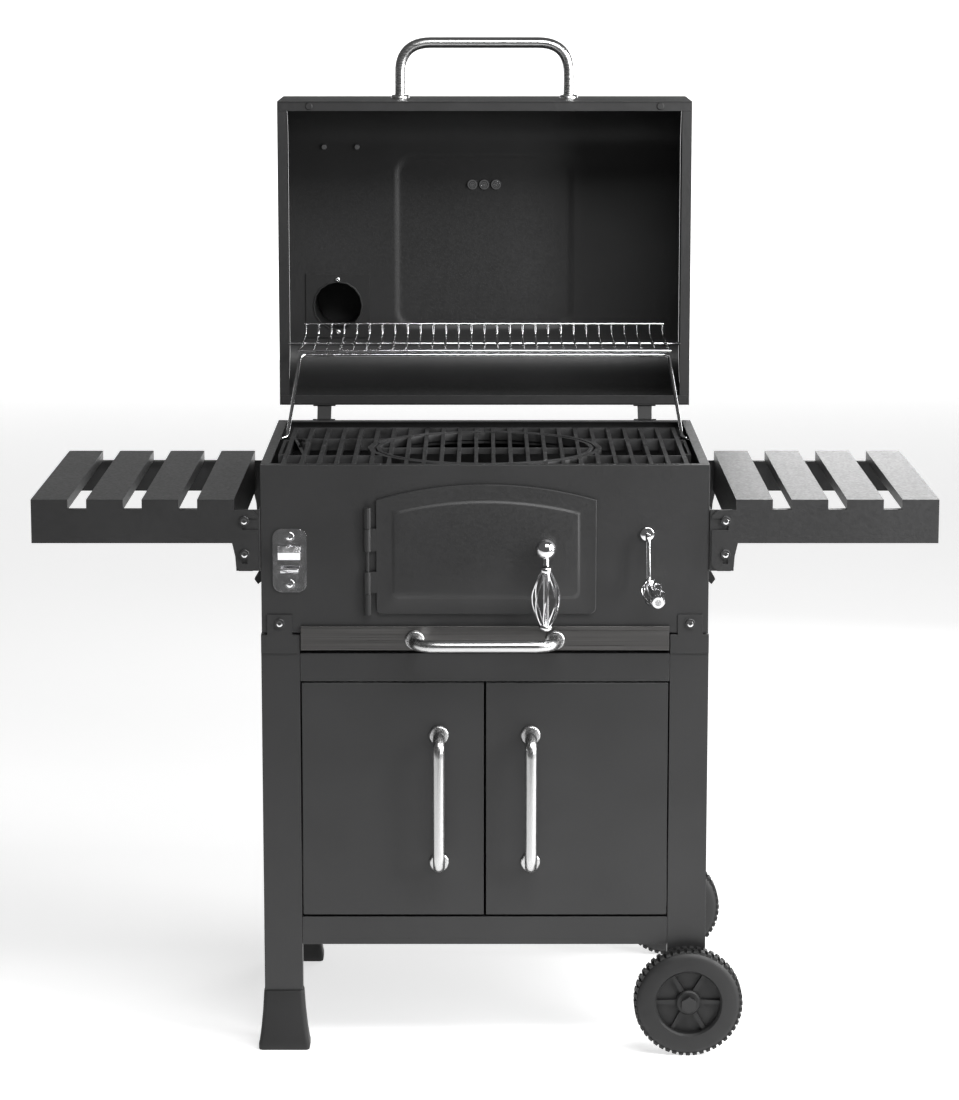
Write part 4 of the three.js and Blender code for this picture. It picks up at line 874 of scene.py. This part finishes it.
def crank():
    """The bent crank rod with its collar and the pinion that lifts the coal tray."""
    bm = bmesh.new()
    add_sweep(bm, rounded_path(CRANK_PATH, 7 * MM, 9), 3.5 * MM, 22)
    add_lathe(bm, CRANK_COLLAR, CRANK - Y_AXIS * 0.0003, -Y_AXIS, 32)
    outline = []
    for i in range(PINION_TEETH):
        for share, reach in PINION_TOOTH:
            angle = 2 * math.pi * (i + share) / PINION_TEETH
            outline.append((reach * math.cos(angle), reach * math.sin(angle)))
    add_prism(bm, outline, lambda x, z: CRANK + Vector((x, PINION_DEPTH, z)), (0, PINION_DEPTH, 0))
    finished(bm, "crank_bar", "crank", "chrome", ["crank_rod"], smooth=40)
    ends = (CRANK_CAGE_START, CRANK_CAGE_END)
    cage_grip("crank_cage", "crank_grip", "crank_grip", *ends, CRANK_CAGE_SWELL)


DOOR_MIDDLE, DOOR_HALF, DOOR_LOW, DOOR_APEX = 0.0015, 0.1475, 0.608, 0.784
DOOR_RISE, DOOR_CORNER = 0.021, 0.009
# The sheet's steps: how far in from the outline, and how far proud of the firebox.
DOOR_LEVELS = [(0, 0.0006), (0, 0.0036), (0.0009, 0.0045), (0.0205, 0.0045)]
DOOR_LEVELS += [(0.0222, 0.0049), (0.024, 0.0060), (0.026, 0.0065)]
DOOR_BACK_INSET, DOOR_BACK_PROUD, DOOR_INNER_PROUD = 2 * MM, 0.6 * MM, 2.5 * MM
KNUCKLES = ((0.694, 0.7245), (0.637, 0.666))
KNUCKLE_X, KNUCKLE_PROUD, KNUCKLE_RADIUS = -0.157, 6 * MM, 5 * MM
LEAF_X, LEAF_PROUD = (-0.154, -0.145), (4.5 * MM, 2.5 * MM)


def charcoal_outline(inset, steps=26):
    """The charcoal door's outline, drawn in by an inset: straight sides under a shallow arch."""
    radius = (DOOR_HALF**2 + DOOR_RISE**2) / (2 * DOOR_RISE)
    centre = DOOR_APEX - radius
    reach, arch, base = DOOR_HALF - inset, radius - inset, DOOR_LOW + inset
    lean = math.degrees(math.acos(reach / arch))
    left, right = DOOR_MIDDLE - reach + DOOR_CORNER, DOOR_MIDDLE + reach - DOOR_CORNER
    points = arc((left, base + DOOR_CORNER), DOOR_CORNER, 180, 270, 6)
    points += arc((right, base + DOOR_CORNER), DOOR_CORNER, 270, 360, 6)
    return points + arc((DOOR_MIDDLE, centre), arch, lean, 180 - lean, steps)


def charcoal_door():
    """The door's pressed sheet, its rolled edge and raised panel, and its half of the hinge."""
    bm = bmesh.new()

    def ring(inset, proud):
        return [bm.verts.new((x, FRONT - proud, z)) for x, z in charcoal_outline(inset)]

    rings = [ring(inset, proud) for inset, proud in DOOR_LEVELS]
    for a, b in zip(rings, rings[1:]):
        join_rings(bm, a, b)
    bm.faces.new(rings[-1])
    back, inner = ring(DOOR_BACK_INSET, DOOR_BACK_PROUD), ring(DOOR_BACK_INSET, DOOR_INNER_PROUD)
    join_rings(bm, back, rings[0])
    join_rings(bm, inner, back)
    bm.faces.new(inner[::-1])
    for low, high in KNUCKLES:
        pin_y = FRONT - KNUCKLE_PROUD
        add_sweep(bm, [(KNUCKLE_X, pin_y, low), (KNUCKLE_X, pin_y, high)], KNUCKLE_RADIUS, 24)
        add_box(bm, (LEAF_X[0], FRONT - LEAF_PROUD[0], low), (LEAF_X[1], FRONT - LEAF_PROUD[1], high))
    finished(bm, "charcoal_door_sheet", "charcoal_door", "coated_steel", ["charcoal_door"], smooth=32)


# ---------- Screws ----------

SCREW_RADIUS, SCREW_HEIGHT, OPENER_SCREW_HEIGHT = 6.8 * MM, 4 * MM, 3.7 * MM
FIREBOX_BACK = FRONT + 0.439
TAB_PROUD, BRACKET_PROUD = 2.3 * MM, 5.3 * MM
LEG_TAB_X, LEG_TAB_Z = 0.27575, 0.595
BRACKET_X, BRACKET_ROWS = 0.3215, (0.690, 0.735)
OPENER_X, OPENER_ROWS = -0.2615, (0.649, 0.713)


def screws():
    """Domed screws on the leg tabs, on each end of the table brackets, and on the bottle opener."""
    bm = bmesh.new()
    for y, outward in ((FRONT - TAB_PROUD, -Y_AXIS), (FIREBOX_BACK - 0.7 * MM, Y_AXIS)):
        for x in (-LEG_TAB_X, LEG_TAB_X):
            add_pan_screw(bm, (x, y, LEG_TAB_Z), outward, SCREW_RADIUS, SCREW_HEIGHT)
    for y, outward in ((FRONT - BRACKET_PROUD, -Y_AXIS), (FIREBOX_BACK + 2.3 * MM, Y_AXIS)):
        for x in (-BRACKET_X, BRACKET_X):
            for z in BRACKET_ROWS:
                add_pan_screw(bm, (x, y, z), outward, SCREW_RADIUS, SCREW_HEIGHT)
    finished(bm, "cart_screws", "cart", "chrome", smooth=40)
    bm = bmesh.new()
    for z in OPENER_ROWS:
        place = (OPENER_X, FRONT - TAB_PROUD, z)
        add_pan_screw(bm, place, -Y_AXIS, SCREW_RADIUS, OPENER_SCREW_HEIGHT)
    finished(bm, "opener_screws", "cart", "chrome", smooth=40)


# ---------- CAD nodes that stay ----------

EDGE_WIDTHS = {
    "cast_iron": 0.9 * MM,
    "coated_steel": 0.7 * MM,
    "dark_steel": 0.5 * MM,
    "drawer_steel": 0.5 * MM,
}
OTHER_EDGE_WIDTH = 0.4 * MM
WELD_DISTANCE = 0.02 * MM


def node_slots():
    """The material slot that the record gives each CAD node."""
    return {part["node"]: part["material_slot"] for part in frame["record"]["subparts"]}


def dress_nodes():
    """Materials and softened edges. The axle bolts look dark, though their slot is zinc_steel."""
    slots = node_slots()
    for name, node in frame["nodes"].items():
        slot_name = slots.get(name, "coated_steel")
        material = MATERIALS["dark_steel" if name.startswith("axle_bolt") else slot_name]
        node.data.materials.clear()
        node.data.materials.append(material)
        weld = node.modifiers.new("weld", "WELD")
        weld.merge_threshold = WELD_DISTANCE
        rounded_edges(node, EDGE_WIDTHS.get(slot_name, OTHER_EDGE_WIDTH), 2, 40)


dress_nodes()
bar_handles()
lid_skin()
lid_flanges()
lid_bumpers()
lid_inside_nuts()
badge_plate()
thermometer()
wheels()
feet()
wire_rack()
bail_wire()
latch()
crank()
charcoal_door()
screws()


# ---------- Floor, backdrop, light and camera ----------


SHEET_HALF_WIDTH, FLOOR_FRONT, WALL_Y, WALL_TOP = 14, -2.4, 7.5, 1.75
SHEET_DROP = 0.5 * MM  # Keeps the floor just under the feet.


def plain(name, value, roughness, glow):
    """A pale studio surface with a faint unevenness."""
    material, tree, shader = shader_tree(name)
    cloud = noise(tree, 0.6, 2.0)
    link(tree, tint(tree, cloud, (value * 0.985,) * 3, (value,) * 3), "Color", shader, "Base Color")
    shader.inputs["Roughness"].default_value = roughness
    shader.inputs["Emission Color"].default_value = (1, 1, 1, 1)
    shader.inputs["Emission Strength"].default_value = glow
    return material


def staged_sheet(name, profile, material):
    """A sheet of floor or backdrop, from its side profile in Y and Z."""
    bm = bmesh.new()
    rows = []
    for x in (-SHEET_HALF_WIDTH, SHEET_HALF_WIDTH):
        rows.append([bm.verts.new((x, y, z - SHEET_DROP)) for y, z in profile])
    for i in range(len(profile) - 1):
        bm.faces.new((rows[0][i], rows[1][i], rows[1][i + 1], rows[0][i + 1]))
    mesh = bpy.data.meshes.new(name)
    bm.to_mesh(mesh)
    bm.free()
    mesh.shade_smooth()
    mesh.materials.append(material)
    sheet = bpy.data.objects.new(name, mesh)
    bpy.context.scene.collection.objects.link(sheet)


def backdrop():
    """A pale floor, and a low lit wall well behind the object."""
    staged_sheet("floor", [(FLOOR_FRONT, 0), (WALL_Y, 0)], plain("pale_floor", 0.62, 0.9, 0.66))
    staged_sheet("wall", [(WALL_Y, 0), (WALL_Y, WALL_TOP)], plain("lit_wall", 0.9, 0.9, 1.0))


# Name, place, what it points at, width, height and power.
LIGHTS = [
    ("key_right", (2.3, -0.5, 1.5), (0.2, -0.1, 0.8), 0.9, 2.0, 80),
    ("front_right", (1.45, -1.5, 1.45), (0.2, -0.3, 0.75), 0.5, 1.6, 38),
    ("slat_gloss", (1.15, 2.4, 1.2), (0.45, 0, 0.76), 1.3, 0.8, 15),
    ("top_front", (0.5, -1.7, 2.5), (0, 0.1, 1.05), 1.3, 0.8, 52),
]
WORLD_STRENGTH = 0.11
SENSOR_HEIGHT, FOCAL_PIXELS, IMAGE_HEIGHT = 36, 3450, 1100
CAMERA_PLACE, CAMERA_TILT = (-0.0073, -4.89235, 1.5014), 10.06
CAMERA_REACH = 60


def area_light(name, place, target, width, height, power):
    data = bpy.data.lights.new(name, "AREA")
    data.shape = "RECTANGLE"
    data.size, data.size_y = width, height
    data.energy = power
    lamp = bpy.data.objects.new(name, data)
    lamp.location = place
    lamp.rotation_euler = (Vector(target) - Vector(place)).to_track_quat("-Z", "Y").to_euler()
    bpy.context.scene.collection.objects.link(lamp)


def studio():
    scene = bpy.context.scene
    world = bpy.data.worlds.new("studio")
    world.use_nodes = True
    background = world.node_tree.nodes["Background"]
    background.inputs["Color"].default_value = (1, 1, 1, 1)
    background.inputs["Strength"].default_value = WORLD_STRENGTH
    scene.world = world
    for light in LIGHTS:
        area_light(*light)
    camera_data = bpy.data.cameras.new("camera")
    camera_data.sensor_fit = "VERTICAL"
    camera_data.sensor_height = SENSOR_HEIGHT
    camera_data.lens = SENSOR_HEIGHT * FOCAL_PIXELS / IMAGE_HEIGHT
    camera_data.clip_end = CAMERA_REACH
    camera_data.dof.use_dof = False
    camera = bpy.data.objects.new("camera", camera_data)
    camera.location = CAMERA_PLACE
    camera.rotation_euler = (math.radians(90 - CAMERA_TILT), 0, 0)
    scene.collection.objects.link(camera)
    scene.camera = camera
    scene.view_settings.view_transform = "Standard"


backdrop()
studio()
